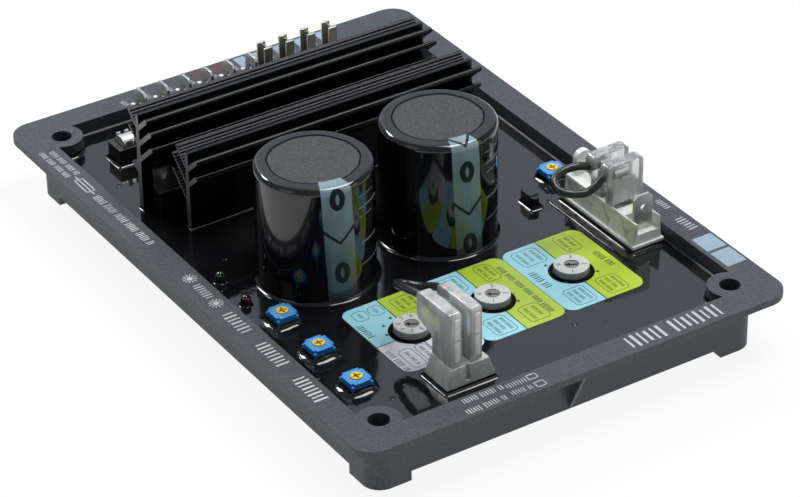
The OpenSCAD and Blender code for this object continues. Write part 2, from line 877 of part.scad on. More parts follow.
module front_link_boot(index) {
    color("#c9cfca") translate([0, 0, board_top + front_link_block_height])
        at_front_link(2 * index - 3)
            boot(front_link_front, front_link_back, front_link_skirt, front_link_skirt_rise,
                front_link_boot_height, front_link_slope, front_link_flag_rise, front_link_wire_rise, front_link_tilt);
}

module front_link_receptacles() {
    color("silver") translate([0, 0, board_top + front_link_block_height])
        for (s = [-1, 1])
            at_front_link(s)
                receptacle(front_link_back, front_link_blade_rise, front_link_wire_rise, front_link_tilt);
}

module front_link_lead() {
    color("#1d1d20")
        translate([front_link_x, front_link_y, board_top + front_link_block_height + front_link_wire_rise])
            link_lead(front_link_back, front_link_straight, front_link_pitch, front_link_tilt);
}

// Side link

module at_side_link(x) {
    translate([x, side_link_y, 0]) rotate(90) children();
}

// Shallow triangles pressed into the -Y face of the block
module side_link_facets() {
    facet_width = side_link_size[0] / facet_count;
    for (i = [0 : facet_count - 1])
        translate([-side_link_size[0] / 2 + (i + 0.5) * facet_width, -side_link_size[1] / 2 + facet_depth, 0])
            rotate([90, 0, 0]) linear_extrude(facet_depth + 1)
                polygon([
                    [-facet_width * 0.4, side_link_block_height - 1],
                    [0, ledge_height + 0.6],
                    [facet_width * 0.4, side_link_block_height - 1]
                ]);
}

module side_link_block() {
    body = [side_link_size[0] - 2 * ledge_reach, side_link_size[1] - 2 * ledge_reach];
    color("#cfd4d0") translate([side_link_x, side_link_y, board_top]) difference() {
        union() {
            block(side_link_size[0], side_link_size[1], ledge_height);
            tapered_block(body[0] + 2 * side_link_taper[0], body[1] + 2 * side_link_taper[1],
                side_link_block_height, side_link_taper);
            translate([tongue_x - tongue_thickness / 2, 0, 0]) rotate([90, 0, 90])
                linear_extrude(tongue_thickness) {
                    translate([-tongue_width / 2, 0])
                        square([tongue_width, side_link_block_height + tongue_rise - tongue_width / 2]);
                    translate([0, side_link_block_height + tongue_rise - tongue_width / 2]) circle(d = tongue_width);
                }
        }
        for (x = side_link_blade_x) {
            translate([x - side_link_x, 0, -1])
                block(blade_thickness + 2 * run_gap, blade_width + 2 * run_gap, side_link_block_height + 2);
            translate([x - side_link_x, 0, side_link_block_height - well_depth])
                block(well_size[0], well_size[1], well_depth + 1);
        }
        translate([0, ledge_reach, 0]) side_link_facets();
    }
}

module side_link_blades() {
    color("silver") translate([0, 0, board_top])
        for (x = side_link_blade_x)
            at_side_link(x) blade(side_link_block_height + side_link_blade_rise);
}

module side_link_boot(index) {
    color("#c9cfca") translate([0, 0, board_top + side_link_block_height])
        at_side_link(side_link_boot_x[index - 1])
            boot(side_link_front, side_link_back, side_link_skirt, side_link_skirt_rise,
                side_link_boot_height, side_link_slope, side_link_flag_rise, side_link_wire_rise, side_link_tilt);
}

module side_link_receptacles() {
    color("silver") translate([0, 0, board_top + side_link_block_height])
        for (x = side_link_boot_x)
            at_side_link(x) receptacle(side_link_back, side_link_blade_rise, side_link_wire_rise, side_link_tilt);
}

module side_link_lead() {
    color("#1d1d20")
        translate([(side_link_boot_x[0] + side_link_boot_x[1]) / 2, side_link_y,
            board_top + side_link_block_height + side_link_wire_rise])
            rotate(90) link_lead(side_link_back, side_link_straight, side_link_pitch, side_link_tilt);
}

// Fuse

module fuse_holder() {
    trough_width = fuse_diameter + 2 * (cap_extra + clip_thickness + 2 * clip_gap);
    color("#18181a") translate([fuse_x, fuse_y, board_top]) difference() {
        block(holder_width, holder_length, holder_height);
        translate([0, 0, holder_height - trough_depth])
            block(trough_width, fuse_length + 2 * clip_gap, trough_depth + 1);
    }
}

module fuse_clips() {
    half = fuse_diameter / 2 + cap_extra + clip_gap;
    color("gainsboro") for (s = [-1, 1])
        translate([fuse_x, fuse_y + s * (fuse_length / 2 - clip_length / 2 - clip_inset), trough_floor]) {
            block(2 * (half + clip_thickness), clip_length, clip_thickness);
            for (side = [-1, 1], end = [-1, 1])
                translate([side * (half + clip_thickness / 2), end * clip_length / 3, 0])
                    block(clip_thickness, clip_length / 3, clip_rise);
        }
}

module fuse() {
    color("lightgray") translate([fuse_x, fuse_y - fuse_length / 2, fuse_z]) rotate([-90, 0, 0]) {
        cylinder(h = fuse_length, d = fuse_diameter);
        for (y = [0, fuse_length - cap_length])
            translate([0, 0, y]) cylinder(h = cap_length, d = fuse_diameter + 2 * cap_extra);
    }
}

// Small moulded transistor with a round nose

module signal_transistor() {
    color("#161618") translate([signal_x, signal_y, board_top]) {
        translate([-signal_nose / 2, 0, 0]) block(signal_size[0] - signal_nose, signal_size[1], signal_height);
        translate([signal_size[0] / 2 - signal_nose, 0, 0]) cylinder(h = signal_height - 0.6, r = signal_nose);
    }
}

tray();
circuit_board();
potting_resin();
rear_heat_sink();
front_heat_sink();
for (i = [1:device_count])
    power_device(i);
device_screws();
for (i = [1:2])
    capacitor(i);
for (i = [1:2])
    capacitor_disc(i);
for (i = [1:single_count])
    terminal(i);
for (i = [1:twin_count])
    twin_terminal(i);
for (i = [1:4])
    trimmer(i);
for (i = [1:4])
    trimmer_rotor(i);
green_lamp();
red_lamp();
for (i = [1:3])
    selector(i);
for (i = [1:3])
    selector_dial(i);
selector_label();
front_link_block();
front_link_blades();
front_link_boot(1);  // front_link_boot_1
front_link_boot(2);  // front_link_boot_2
front_link_receptacles();
front_link_lead();
side_link_block();
side_link_blades();
side_link_boot(1);  // side_link_boot_1
side_link_boot(2);  // side_link_boot_2
side_link_receptacles();
side_link_lead();
fuse_holder();
fuse_clips();
fuse();
signal_transistor();
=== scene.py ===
"""Looks of a potted voltage regulator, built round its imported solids."""

import logging
import math
from dataclasses import dataclass
from enum import Enum
from typing import Callable, ClassVar, Iterable, Sequence

import bmesh
import bpy
from mathutils import Matrix, Vector


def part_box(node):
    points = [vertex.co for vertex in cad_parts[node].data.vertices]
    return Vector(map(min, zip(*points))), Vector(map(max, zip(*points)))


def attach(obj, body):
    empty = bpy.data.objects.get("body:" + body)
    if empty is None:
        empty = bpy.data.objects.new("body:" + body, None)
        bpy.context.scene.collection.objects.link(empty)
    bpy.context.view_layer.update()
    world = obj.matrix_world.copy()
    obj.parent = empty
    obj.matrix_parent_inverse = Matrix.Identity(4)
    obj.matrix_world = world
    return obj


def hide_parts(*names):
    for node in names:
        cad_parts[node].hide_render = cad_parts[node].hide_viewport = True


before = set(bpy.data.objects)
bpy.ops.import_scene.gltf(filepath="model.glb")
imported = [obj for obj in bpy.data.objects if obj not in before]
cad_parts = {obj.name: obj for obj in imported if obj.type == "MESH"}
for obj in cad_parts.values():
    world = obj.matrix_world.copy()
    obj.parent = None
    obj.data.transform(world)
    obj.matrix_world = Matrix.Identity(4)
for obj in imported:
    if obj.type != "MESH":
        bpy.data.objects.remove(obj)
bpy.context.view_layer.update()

MM = 0.001
ROOT = "regulator"
RESIN_TOP = 14.5
FLANGE_TOP = 19.0
POCKET = (91.2, 61.2)
FIXINGS = (87.5, 57.5)
BOSS_RADIUS = 6.4
REAR_STEM = -44.8
FRONT_STEM = -27.9
CANS = ((12.4, -30.2), (12.4, 10.8))
CAN_RADIUS = 17.0
TRIMMERS = ((28.2, -51.0), (47.2, -51.0), (66.2, -51.0), (7.6, 53.8))
DIALS = ((52.0, -24.2), (52.0, 2.5), (52.0, 29.2))
DIAL_NUMERALS = ("01234567", "0123", "0123")

# Thickness of print, and limits for meshes in millimetres and radians
FILM = 0.02
TINY = 0.01
WELD = 0.0005
CAD_WELD = 0.003
FLAT = math.radians(0.5)
SHARP = math.radians(40.0)
RING_STEPS = 48
LINE_ENDS = 0.6

# Angle in degrees up to which round pieces are shaded smooth
SOFT = 50.0

QUARTER = math.pi / 2
ORIGIN = (0.0, 0.0, 0.0)
HERE = Matrix.Identity(4)
NOISE_MIDDLE = (0.3, 0.7)

Point = tuple[float, float]
Span = tuple[Point, Point]
Triple = tuple[float, float, float]
Colour = Triple
Socket = bpy.types.NodeSocket
Mesh = bmesh.types.BMesh
Vert = bmesh.types.BMVert
Edge = bmesh.types.BMEdge
Face = bmesh.types.BMFace

log = logging.getLogger("regulator")


# Finishes


class Grain(Enum):
    """How the small texture of a finish is stretched along X, Y and Z."""

    MOULDED = (1.0, 1.0, 1.0)
    DRAWN_Y = (1.0, 0.02, 1.0)
    FLOWED = (1.0, 1.0, 0.3)
    STREAKED_Z = (1.0, 1.0, 0.06)


class NodeSheet:
    """A node tree, with short ways to add and join nodes."""

    def __init__(self, tree: bpy.types.NodeTree) -> None:
        """Takes hold of a tree."""
        self.tree = tree

    def give(self, socket: Socket, value: object) -> None:
        """Gives an input a constant or another node's output.

        Args:
            socket: The input.
            value: What it gets.
        """
        if isinstance(value, Socket):
            self.tree.links.new(value, socket)
        else:
            socket.default_value = value

    def add(self, kind: str, values: dict[str, object] | None = None, **settings: object) -> bpy.types.Node:
        """Adds a node.

        Args:
            kind: Blender's name of the node type, without ShaderNode.
            values: What its inputs get, by name.
            settings: Properties to set on it.

        Returns:
            The new node.
        """
        node = self.tree.nodes.new(f"ShaderNode{kind}")
        for name, value in settings.items():
            setattr(node, name, value)
        for name, value in (values or {}).items():
            self.give(node.inputs[name], value)
        return node

    def maths(self, operation: str, *values: float | Socket) -> Socket:
        """Adds a Math node.

        Args:
            operation: Blender's name of the operation.
            values: Numbers and sockets in order.

        Returns:
            The result.
        """
        node = self.add("Math", operation=operation)
        for socket, value in zip(node.inputs, values):
            self.give(socket, value)
        return node.outputs["Value"]

    def seen(self) -> Socket:
        """Tells the rays that come from the camera, straight, reflected or through a clear body.

        Returns:
            1 for those rays and 0 for all others.
        """
        rays = self.add("LightPath").outputs
        direct = self.maths("MAXIMUM", rays["Is Camera Ray"], rays["Is Glossy Ray"])
        return self.maths("MAXIMUM", direct, rays["Is Transmission Ray"])

    def share(self, factor: Socket, first: Socket, second: Socket, output: Socket) -> None:
        """Gives an output a mix of two shaders.

        Args:
            factor: Share of the second shader.
            first: One shader.
            second: The other shader.
            output: Input of the tree's output node.
        """
        mix = self.add("MixShader")
        for socket, value in zip(mix.inputs, (factor, first, second)):
            self.give(socket, value)
        self.give(output, mix.outputs["Shader"])


class SurfaceSheet(NodeSheet):
    """A material's node tree, with one shader."""

    def __init__(self, name: str) -> None:
        """Starts a material.

        Args:
            name: Name of the material.
        """
        self.material = bpy.data.materials.new(name)
        self.material.use_nodes = True
        super().__init__(self.material.node_tree)
        self.tree.nodes.clear()
        self.shader = self.add("BsdfPrincipled")
        output = self.add("OutputMaterial", {"Surface": self.shader.outputs["BSDF"]})
        self.surface = output.inputs["Surface"]

    def noise(self, size: float, stretch: Triple = Grain.MOULDED.value, detail: float = 3.0) -> Socket:
        """Adds a noise on Object coordinates.

        Args:
            size: Size of its features in millimetres.
            stretch: Factor on its frequency along each axis.
            detail: Octaves of the noise.

        Returns:
            The noise value.
        """
        place = self.add("TexCoord").outputs["Object"]
        scale = [s / (size * MM) for s in stretch]
        mapping = self.add("Mapping", {"Vector": place, "Scale": scale}).outputs["Vector"]
        return self.add("TexNoise", {"Vector": mapping, "Scale": 1.0, "Detail": detail}).outputs["Fac"]

    def mix(self, factor: Socket, low: Colour | Socket, high: Colour | Socket) -> Socket:
        """Mixes two colours by a value.

        Args:
            factor: Value from 0 to 1.
            low: Colour at 0.
            high: Colour at 1.

        Returns:
            The mixed colour.
        """
        node = self.add("Mix", {"Factor": factor}, data_type="RGBA")
        ends = [s for s in node.inputs if s.type == "RGBA"]
        for socket, value in zip(ends, (low, high)):
            self.give(socket, value if isinstance(value, Socket) else (*value, 1.0))
        return next(s for s in node.outputs if s.type == "RGBA")

    def spread(self, value: Socket, low: float, high: float) -> Socket:
        """Maps the middle of a noise onto a range.

        Args:
            value: The noise.
            low: Result where the noise is low.
            high: Result where the noise is high.

        Returns:
            The mapped value.
        """
        ends = zip(("From Min", "From Max", "To Min", "To Max"), (*NOISE_MIDDLE, low, high))
        return self.add("MapRange", {"Value": value, **dict(ends)}).outputs["Result"]

    def bump(self, height: Socket, depth: float) -> None:
        """Gives the shader a bump whose height of 1 is a depth in millimetres."""
        node = self.add("Bump", {"Distance": depth * MM, "Height": height})
        self.give(self.shader.inputs["Normal"], node.outputs["Normal"])

    def axes(self) -> tuple[Socket, ...]:
        """Gives X, Y and Z of the point, in metres."""
        place = self.add("TexCoord").outputs["Object"]
        return tuple(self.add("SeparateXYZ", {"Vector": place}).outputs)

    def facing(self, axis: str, limit: float) -> Socket:
        """Tells the faces that look along an axis, either way.

        Args:
            axis: X, Y or Z.
            limit: Least part of the normal along the axis.

        Returns:
            1 on those faces and 0 elsewhere.
        """
        normal = self.add("NewGeometry").outputs["True Normal"]
        part = self.add("SeparateXYZ", {"Vector": normal}).outputs[axis]
        return self.maths("GREATER_THAN", self.maths("ABSOLUTE", part), limit)


@dataclass(frozen=True)
class Finish:
    """A surface finish with its own grain, colour drift and roughness drift."""

    name: str
    shade: Colour
    roughness: float
    metallic: float = 0.0
    specular: float = 0.5
    coat: float = 0.0
    transmission: float = 0.0
    grain: Grain = Grain.MOULDED
    grain_size: float = 0.5
    grain_depth: float = 0.02
    drift: float = 0.1
    drift_size: float = 14.0
    coat_roughness: ClassVar[float] = 0.08
    uneven: ClassVar[Point] = (0.85, 1.15)
    made: ClassVar[dict[str, bpy.types.Material]] = {}

    def material(self) -> bpy.types.Material:
        """Gives the finish's material, made once."""
        if self.name not in self.made:
            self.made[self.name] = self.build()
        return self.made[self.name]

    def build(self) -> bpy.types.Material:
        """Builds the node tree.

        Returns:
            The new material.
        """
        sheet = SurfaceSheet(self.name)
        fine = sheet.noise(self.grain_size, self.grain.value)
        broad = sheet.spread(sheet.noise(self.drift_size), 0.0, 1.0)
        low = tuple(c * (1.0 - self.drift) for c in self.shade)
        high = tuple(min(1.0, c * (1.0 + self.drift)) for c in self.shade)
        rough = [min(1.0, self.roughness * share) for share in self.uneven]
        sheet.bump(fine, self.grain_depth)
        for name, value in (
            ("Metallic", self.metallic),
            ("Specular IOR Level", self.specular),
            ("Coat Weight", self.coat),
            ("Coat Roughness", self.coat_roughness),
            ("Transmission Weight", self.transmission),
            ("Roughness", sheet.spread(fine, *rough)),
            ("Base Color", self.tint(sheet, sheet.mix(broad, low, high))),
        ):
            sheet.give(sheet.shader.inputs[name], value)
        return sheet.material

    def tint(self, sheet: SurfaceSheet, colour: Socket) -> Socket:
        """Gives the shader's colour, made from the drifting colour of the finish."""
        return colour


@dataclass(frozen=True)
class SawnFinish(Finish):
    """A black finish whose sawn ends across Y show bare metal."""

    bare: Colour = (0.17, 0.17, 0.18)
    worn: float = 0.6
    mark_size: float = 0.35
    mark_stretch: Triple = (0.2, 1.0, 1.0)
    end_limit: float = 0.9

    def tint(self, sheet: SurfaceSheet, colour: Socket) -> Socket:
        """Puts the bare metal on the faces that look along Y.

        Args:
            sheet: Node tree of the finish.
            colour: Drifting colour of the finish.

        Returns:
            The shader's colour.
        """
        marks = sheet.noise(self.mark_size, self.mark_stretch)
        metal = sheet.mix(marks, tuple(c * self.worn for c in self.bare), self.bare)
        return sheet.mix(sheet.facing("Y", self.end_limit), colour, metal)


@dataclass(frozen=True)
class DialFinish(Finish):
    """A white dial with a grey hub, painted shade on its grey sides and painted shadow in its slot."""

    centre: Point = (0.0, 0.0)
    hub_radius: float = 2.2
    slot_reach: float = 5.0
    floor: float = 16.75
    hub: Colour = (0.24, 0.24, 0.25)
    # Colour of the painted shade on the upright sides
    side: Colour = (0.26, 0.26, 0.265)
    # Colour of the painted shadow in the slot
    dark: Colour = (0.02, 0.02, 0.02)
    top_limit: float = 0.6

    def tint(self, sheet: SurfaceSheet, colour: Socket) -> Socket:
        """Lays the hub, the painted shade of the sides and the painted shadow of the slot over the white.

        Args:
            sheet: Node tree of the finish.
            colour: Drifting colour of the finish.

        Returns:
            The shader's colour.
        """
        x, y, z = sheet.axes()
        away = [sheet.maths("SUBTRACT", axis, middle * MM) for axis, middle in zip((x, y), self.centre)]
        squares = [sheet.maths("POWER", part, 2.0) for part in away]
        reach = sheet.maths("SQRT", sheet.maths("ADD", *squares))
        upright = sheet.maths("SUBTRACT", 1.0, sheet.facing("Z", self.top_limit))
        low = sheet.maths("LESS_THAN", z, self.floor * MM)
        inside = sheet.maths("LESS_THAN", reach, self.slot_reach * MM)
        colour = sheet.mix(sheet.maths("LESS_THAN", reach, self.hub_radius * MM), colour, self.hub)
        # Painted shade on the sides, then painted shadow in the slot
        colour = sheet.mix(upright, colour, self.side)
        return sheet.mix(sheet.maths("MULTIPLY", low, inside), colour, self.dark)


@dataclass(frozen=True)
class LabelFinish(Finish):
    """A printed film with a field of cyan and one of lime per panel, and a lilac corner."""

    start: float = -36.85
    panel: float = 26.7
    split: float = 12.6
    corner: float = 53.8
    lime: Colour = (0.434, 0.604, 0.042)
    lilac: Colour = (0.73, 0.74, 0.82)
    line: Colour = (0.015, 0.015, 0.015)
    half_line: float = 0.18

    def tint(self, sheet: SurfaceSheet, colour: Socket) -> Socket:
        """Lays the fields and the lines between them over the cyan.

        Args:
            sheet: Node tree of the finish.
            colour: Drifting colour of the finish.

        Returns:
            The shader's colour.
        """
        x, y, _ = sheet.axes()
        turn = sheet.maths("DIVIDE", sheet.maths("SUBTRACT", y, self.start * MM), self.panel * MM)
        local = sheet.maths("FRACT", turn)
        split, thin = self.split / self.panel, self.half_line / self.panel
        first = sheet.maths("LESS_THAN", turn, 1.0)
        right = sheet.maths("GREATER_THAN", x, self.corner * MM)
        cross = sheet.maths("COMPARE", x, self.corner * MM, self.half_line * MM)
        edges = [sheet.maths("COMPARE", local, place, thin) for place in (split, 0.0)]
        edge = sheet.maths("MAXIMUM", *edges)
        lines = sheet.maths("MAXIMUM", edge, sheet.maths("MULTIPLY", first, cross))
        colour = sheet.mix(sheet.maths("GREATER_THAN", local, split), colour, self.lime)
        colour = sheet.mix(sheet.maths("MULTIPLY", first, right), colour, self.lilac)
        return sheet.mix(lines, colour, self.line)


@dataclass(frozen=True)
class CloudyFinish(Finish):
    """A milky plastic that is clearer in some streaks than in others."""

    clear: Point = (0.3, 0.75)
    streak_size: float = 2.6
    streak_stretch: Triple = (1.0, 1.0, 0.25)

    def tint(self, sheet: SurfaceSheet, colour: Socket) -> Socket:
        """Lets streaks of the plastic pass more light.

        Args:
            sheet: Node tree of the finish.
            colour: Drifting colour of the finish.

        Returns:
            The shader's colour.
        """
        streaks = sheet.noise(self.streak_size, self.streak_stretch, 4.0)
        sheet.give(sheet.shader.inputs["Transmission Weight"], sheet.spread(streaks, *self.clear))
        return colour


@dataclass(frozen=True)
class SpeckledFinish(Finish):
    """A matt finish with pale and dark specks."""

    speck_size: float = 0.6
    specks: float = 0.5
    pale: float = 4.5

    def tint(self, sheet: SurfaceSheet, colour: Socket) -> Socket:
        """Lays the specks over the drifting colour."""
        specks = sheet.spread(sheet.noise(self.speck_size, detail=4.0), 0.0, self.specks)
        return sheet.mix(specks, colour, tuple(c * self.pale for c in self.shade))


@dataclass(frozen=True)
class FootShadeFinish(Finish):
    """A print with painted shade that darkens it towards the foot of the sleeve."""

    low: float = 12.0
    high: float = 50.0
    # Colour of the painted shade at the sleeve's foot
    foot: Colour = (0.022, 0.038, 0.046)

    def tint(self, sheet: SurfaceSheet, colour: Socket) -> Socket:
        """Lays the painted shade colour of the foot over the drifting colour, less and less upwards."""
        rise = sheet.maths("SUBTRACT", sheet.axes()[2], self.low * MM)
        shade_share = sheet.maths("SUBTRACT", 1.0, sheet.maths("DIVIDE", rise, (self.high - self.low) * MM))
        return sheet.mix(shade_share, colour, self.foot)


DRAWN = {"grain": Grain.DRAWN_Y, "grain_depth": 0.01}
METAL = {"metallic": 1.0, "grain_size": 0.3, "grain_depth": 0.01}
STREAKED = {"grain": Grain.STREAKED_Z}
ROLLED = {"metallic": 1.0, **STREAKED}
POURED = {"grain": Grain.FLOWED, "grain_depth": 0.1}
CLEAN = {"roughness": 0.1, "grain": Grain.FLOWED, "grain_size": 2.2}
MISTY = {"roughness": 0.26, "grain_size": 2.5, "grain_depth": 0.08}
LENS = {"roughness": 0.06, "coat": 0.8, "transmission": 0.6, "grain_size": 0.6}
SMOOTH = {"grain_size": 0.4, "grain_depth": 0.01}
PRINT = {"grain_size": 0.4, "grain_depth": 0.005}

TRAY = SpeckledFinish(
    "tray_moulding", (0.0225, 0.0273, 0.0315), 0.5, grain_size=0.35, grain_depth=0.03, drift=0.12
)
BOARD = Finish("circuit_board", (0.02, 0.09, 0.03), 0.35, grain_size=0.4, drift=0.2)
RESIN = Finish("potting_resin", (0.006, 0.006, 0.007), 0.07, grain_size=9.0, drift=0.3, **POURED)
RESIN_EDGE = Finish("resin_edge", (0.020, 0.022, 0.025), 0.42, grain_size=2.0, grain_depth=0.05)
ANODISED = SawnFinish("black_anodising", (0.006, 0.006, 0.007), 0.18, specular=0.22, **DRAWN)
# Lighter ribs and tooth tops: partly wear, partly painted highlight
RIB_WEAR_AND_HIGHLIGHT = Finish("rib_wear_and_painted_highlight", (0.110, 0.106, 0.124), 0.34, specular=0.3, **DRAWN)
STEEL = Finish("zinc_steel", (0.40, 0.40, 0.39), 0.4, **METAL)
# Metal tabs darkened with painted shade
TAB_PAINTED_SHADE = Finish("device_tab_painted_shade", (0.20, 0.20, 0.20), 0.45, **METAL)
TINNED = Finish("tinned_brass", (0.56, 0.56, 0.54), 0.4, grain_size=0.4, grain_depth=0.004, **ROLLED)
BRIGHT = Finish("bright_tin", (0.46, 0.47, 0.45), 0.32, grain_depth=0.006, **ROLLED)
BRASSY = Finish("worn_brass", (0.58, 0.56, 0.49), 0.36, grain_depth=0.01, **ROLLED)
SLEEVE = Finish(
    "can_sleeve", (0.004, 0.004, 0.005), 0.08, coat=0.3, grain_size=7.0, grain_depth=0.1, **STREAKED
)
FOLD = Finish("sleeve_fold", (0.018, 0.019, 0.022), 0.36, specular=0.3, grain_size=1.2, grain_depth=0.04)
DISC = SpeckledFinish(
    "can_disc", (0.0236, 0.0244, 0.0266), 0.62, specular=0.4, grain_size=0.45, grain_depth=0.06
)
# The stripe gets painted shade towards its foot
STRIPE = FootShadeFinish("sleeve_stripe", (0.20, 0.285, 0.325), 0.26, coat=0.4, grain_size=5.0, **STREAKED)
BLUE = Finish("blue_plastic", (0.018, 0.22, 0.62), 0.3, grain_size=0.3, drift=0.12, drift_size=3.0)
# Lighter top face of the blue plastic: painted light
BLUE_PAINTED_LIGHT = Finish("blue_top_painted_light", (0.045, 0.27, 0.66), 0.38, grain_size=0.3, drift=0.08, drift_size=2.0)
YELLOW = Finish("yellow_plastic", (0.78, 0.62, 0.07), 0.35, grain_size=0.3, drift_size=2.0)
BLACK = Finish("black_plastic", (0.010, 0.010, 0.011), 0.4, grain_size=0.3)
GREEN_LENS = Finish("green_lens", (0.006, 0.120, 0.035), **LENS)
RED_LENS = Finish("red_lens", (0.120, 0.006, 0.010), **LENS)
GLASS = Finish("fuse_glass", (0.80, 0.84, 0.82), 0.05, transmission=0.9, grain_size=3.0, grain_depth=0.01)
WIRE = Finish("wire_sleeve", (0.012, 0.012, 0.013), 0.3)
MILKY = CloudyFinish("milky_plastic", (0.93, 0.95, 0.94), grain_depth=0.06, clear=(0.42, 0.7), **CLEAN)
CLEAR = CloudyFinish("clear_plastic", (0.94, 0.96, 0.95), grain_depth=0.08, clear=(0.58, 0.9), **CLEAN)
DULL = CloudyFinish("dull_plastic", (0.76, 0.79, 0.77), clear=(0.1, 0.38), **MISTY)
FROSTED = CloudyFinish("frosted_plastic", (0.86, 0.885, 0.855), clear=(0.0, 0.14), **MISTY)
LABEL = LabelFinish("selector_label", (0.35, 0.70, 0.80), 0.35, drift=0.04, **SMOOTH)
# Painted shadow for the can's groove and the dial gaps
GROOVE_SHADOW = Finish("groove_shadow", (0.004, 0.004, 0.004), 0.6, specular=0.05, **SMOOTH)
INK_TEAL = Finish("teal_ink", (0.005, 0.012, 0.015), 0.35, specular=0.2, grain_depth=0.005)
INK_GREY = Finish("grey_ink", (0.16, 0.17, 0.19), 0.4, grain_depth=0.005)
INK_WHITE = Finish("white_ink", (0.52, 0.52, 0.53), 0.5, drift=0.15, **PRINT)
INK_BLUE = Finish("blue_ink", (0.27, 0.36, 0.45), 0.45, drift=0.12, **PRINT)
INK_BRIGHT = Finish("bright_ink", (0.88, 0.88, 0.88), 0.4, drift=0.05, **PRINT)
INK_RED = Finish("red_ink", (0.085, 0.03, 0.038), 0.45, drift=0.15, **PRINT)
INK_BLACK = Finish("black_ink", (0.012, 0.012, 0.012), 0.45, **PRINT)


# Mesh helpers


def numbered(stem: str, count: int) -> list[str]:
    """Gives the names of numbered nodes."""
    return [f"{stem}_{i}" for i in range(1, count + 1)]


def dress(finish: Finish, nodes: Iterable[str]) -> None:
    """Gives CAD nodes a finish.

    Args:
        finish: The finish.
        nodes: Names of the nodes.
    """
    for name in nodes:
        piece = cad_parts[name]
        piece.data.materials.clear()
        piece.data.materials.append(finish.material())
        log.info("dressed %s", name)


def corners(node: str) -> tuple[Vector, Vector]:
    """Gives the low and the high corner of a CAD node in millimetres."""
    low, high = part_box(node)
    return low / MM, high / MM


def swept(points: Iterable[Sequence[float]], step: Sequence[float]) -> Mesh:
    """Sweeps a flat outline along a straight step.

    Args:
        points: Corners of the outline.
        step: Way from the first end to the second.

    Returns:
        The mesh.
    """
    work = bmesh.new()
    face = work.faces.new([work.verts.new(point) for point in points])
    grown = bmesh.ops.extrude_face_region(work, geom=[face], use_keep_orig=True)["geom"]
    bmesh.ops.translate(work, vec=step, verts=[g for g in grown if isinstance(g, Vert)])
    return work


def rounded(bm: Mesh, geom: Sequence[object], width: float, segments: int, affect: str = "EDGES") -> None:
    """Rounds edges or corners of a mesh.

    Args:
        bm: The mesh.
        geom: The edges or vertices.
        width: Width of the rounding.
        segments: Faces across it.
        affect: EDGES or VERTICES.
    """
    bmesh.ops.bevel(
        bm,
        geom=geom,
        offset=width,
        affect=affect,
        segments=segments,
        profile=0.5,
        material=-1,
        clamp_overlap=True,
    )


def inset(bm: Mesh, face: Face, width: float, rise: float = 0.0) -> None:
    """Insets a face by a width, and lifts it."""
    bmesh.ops.inset_region(
        bm, faces=[face], thickness=width, depth=rise, use_boundary=True, use_even_offset=True
    )


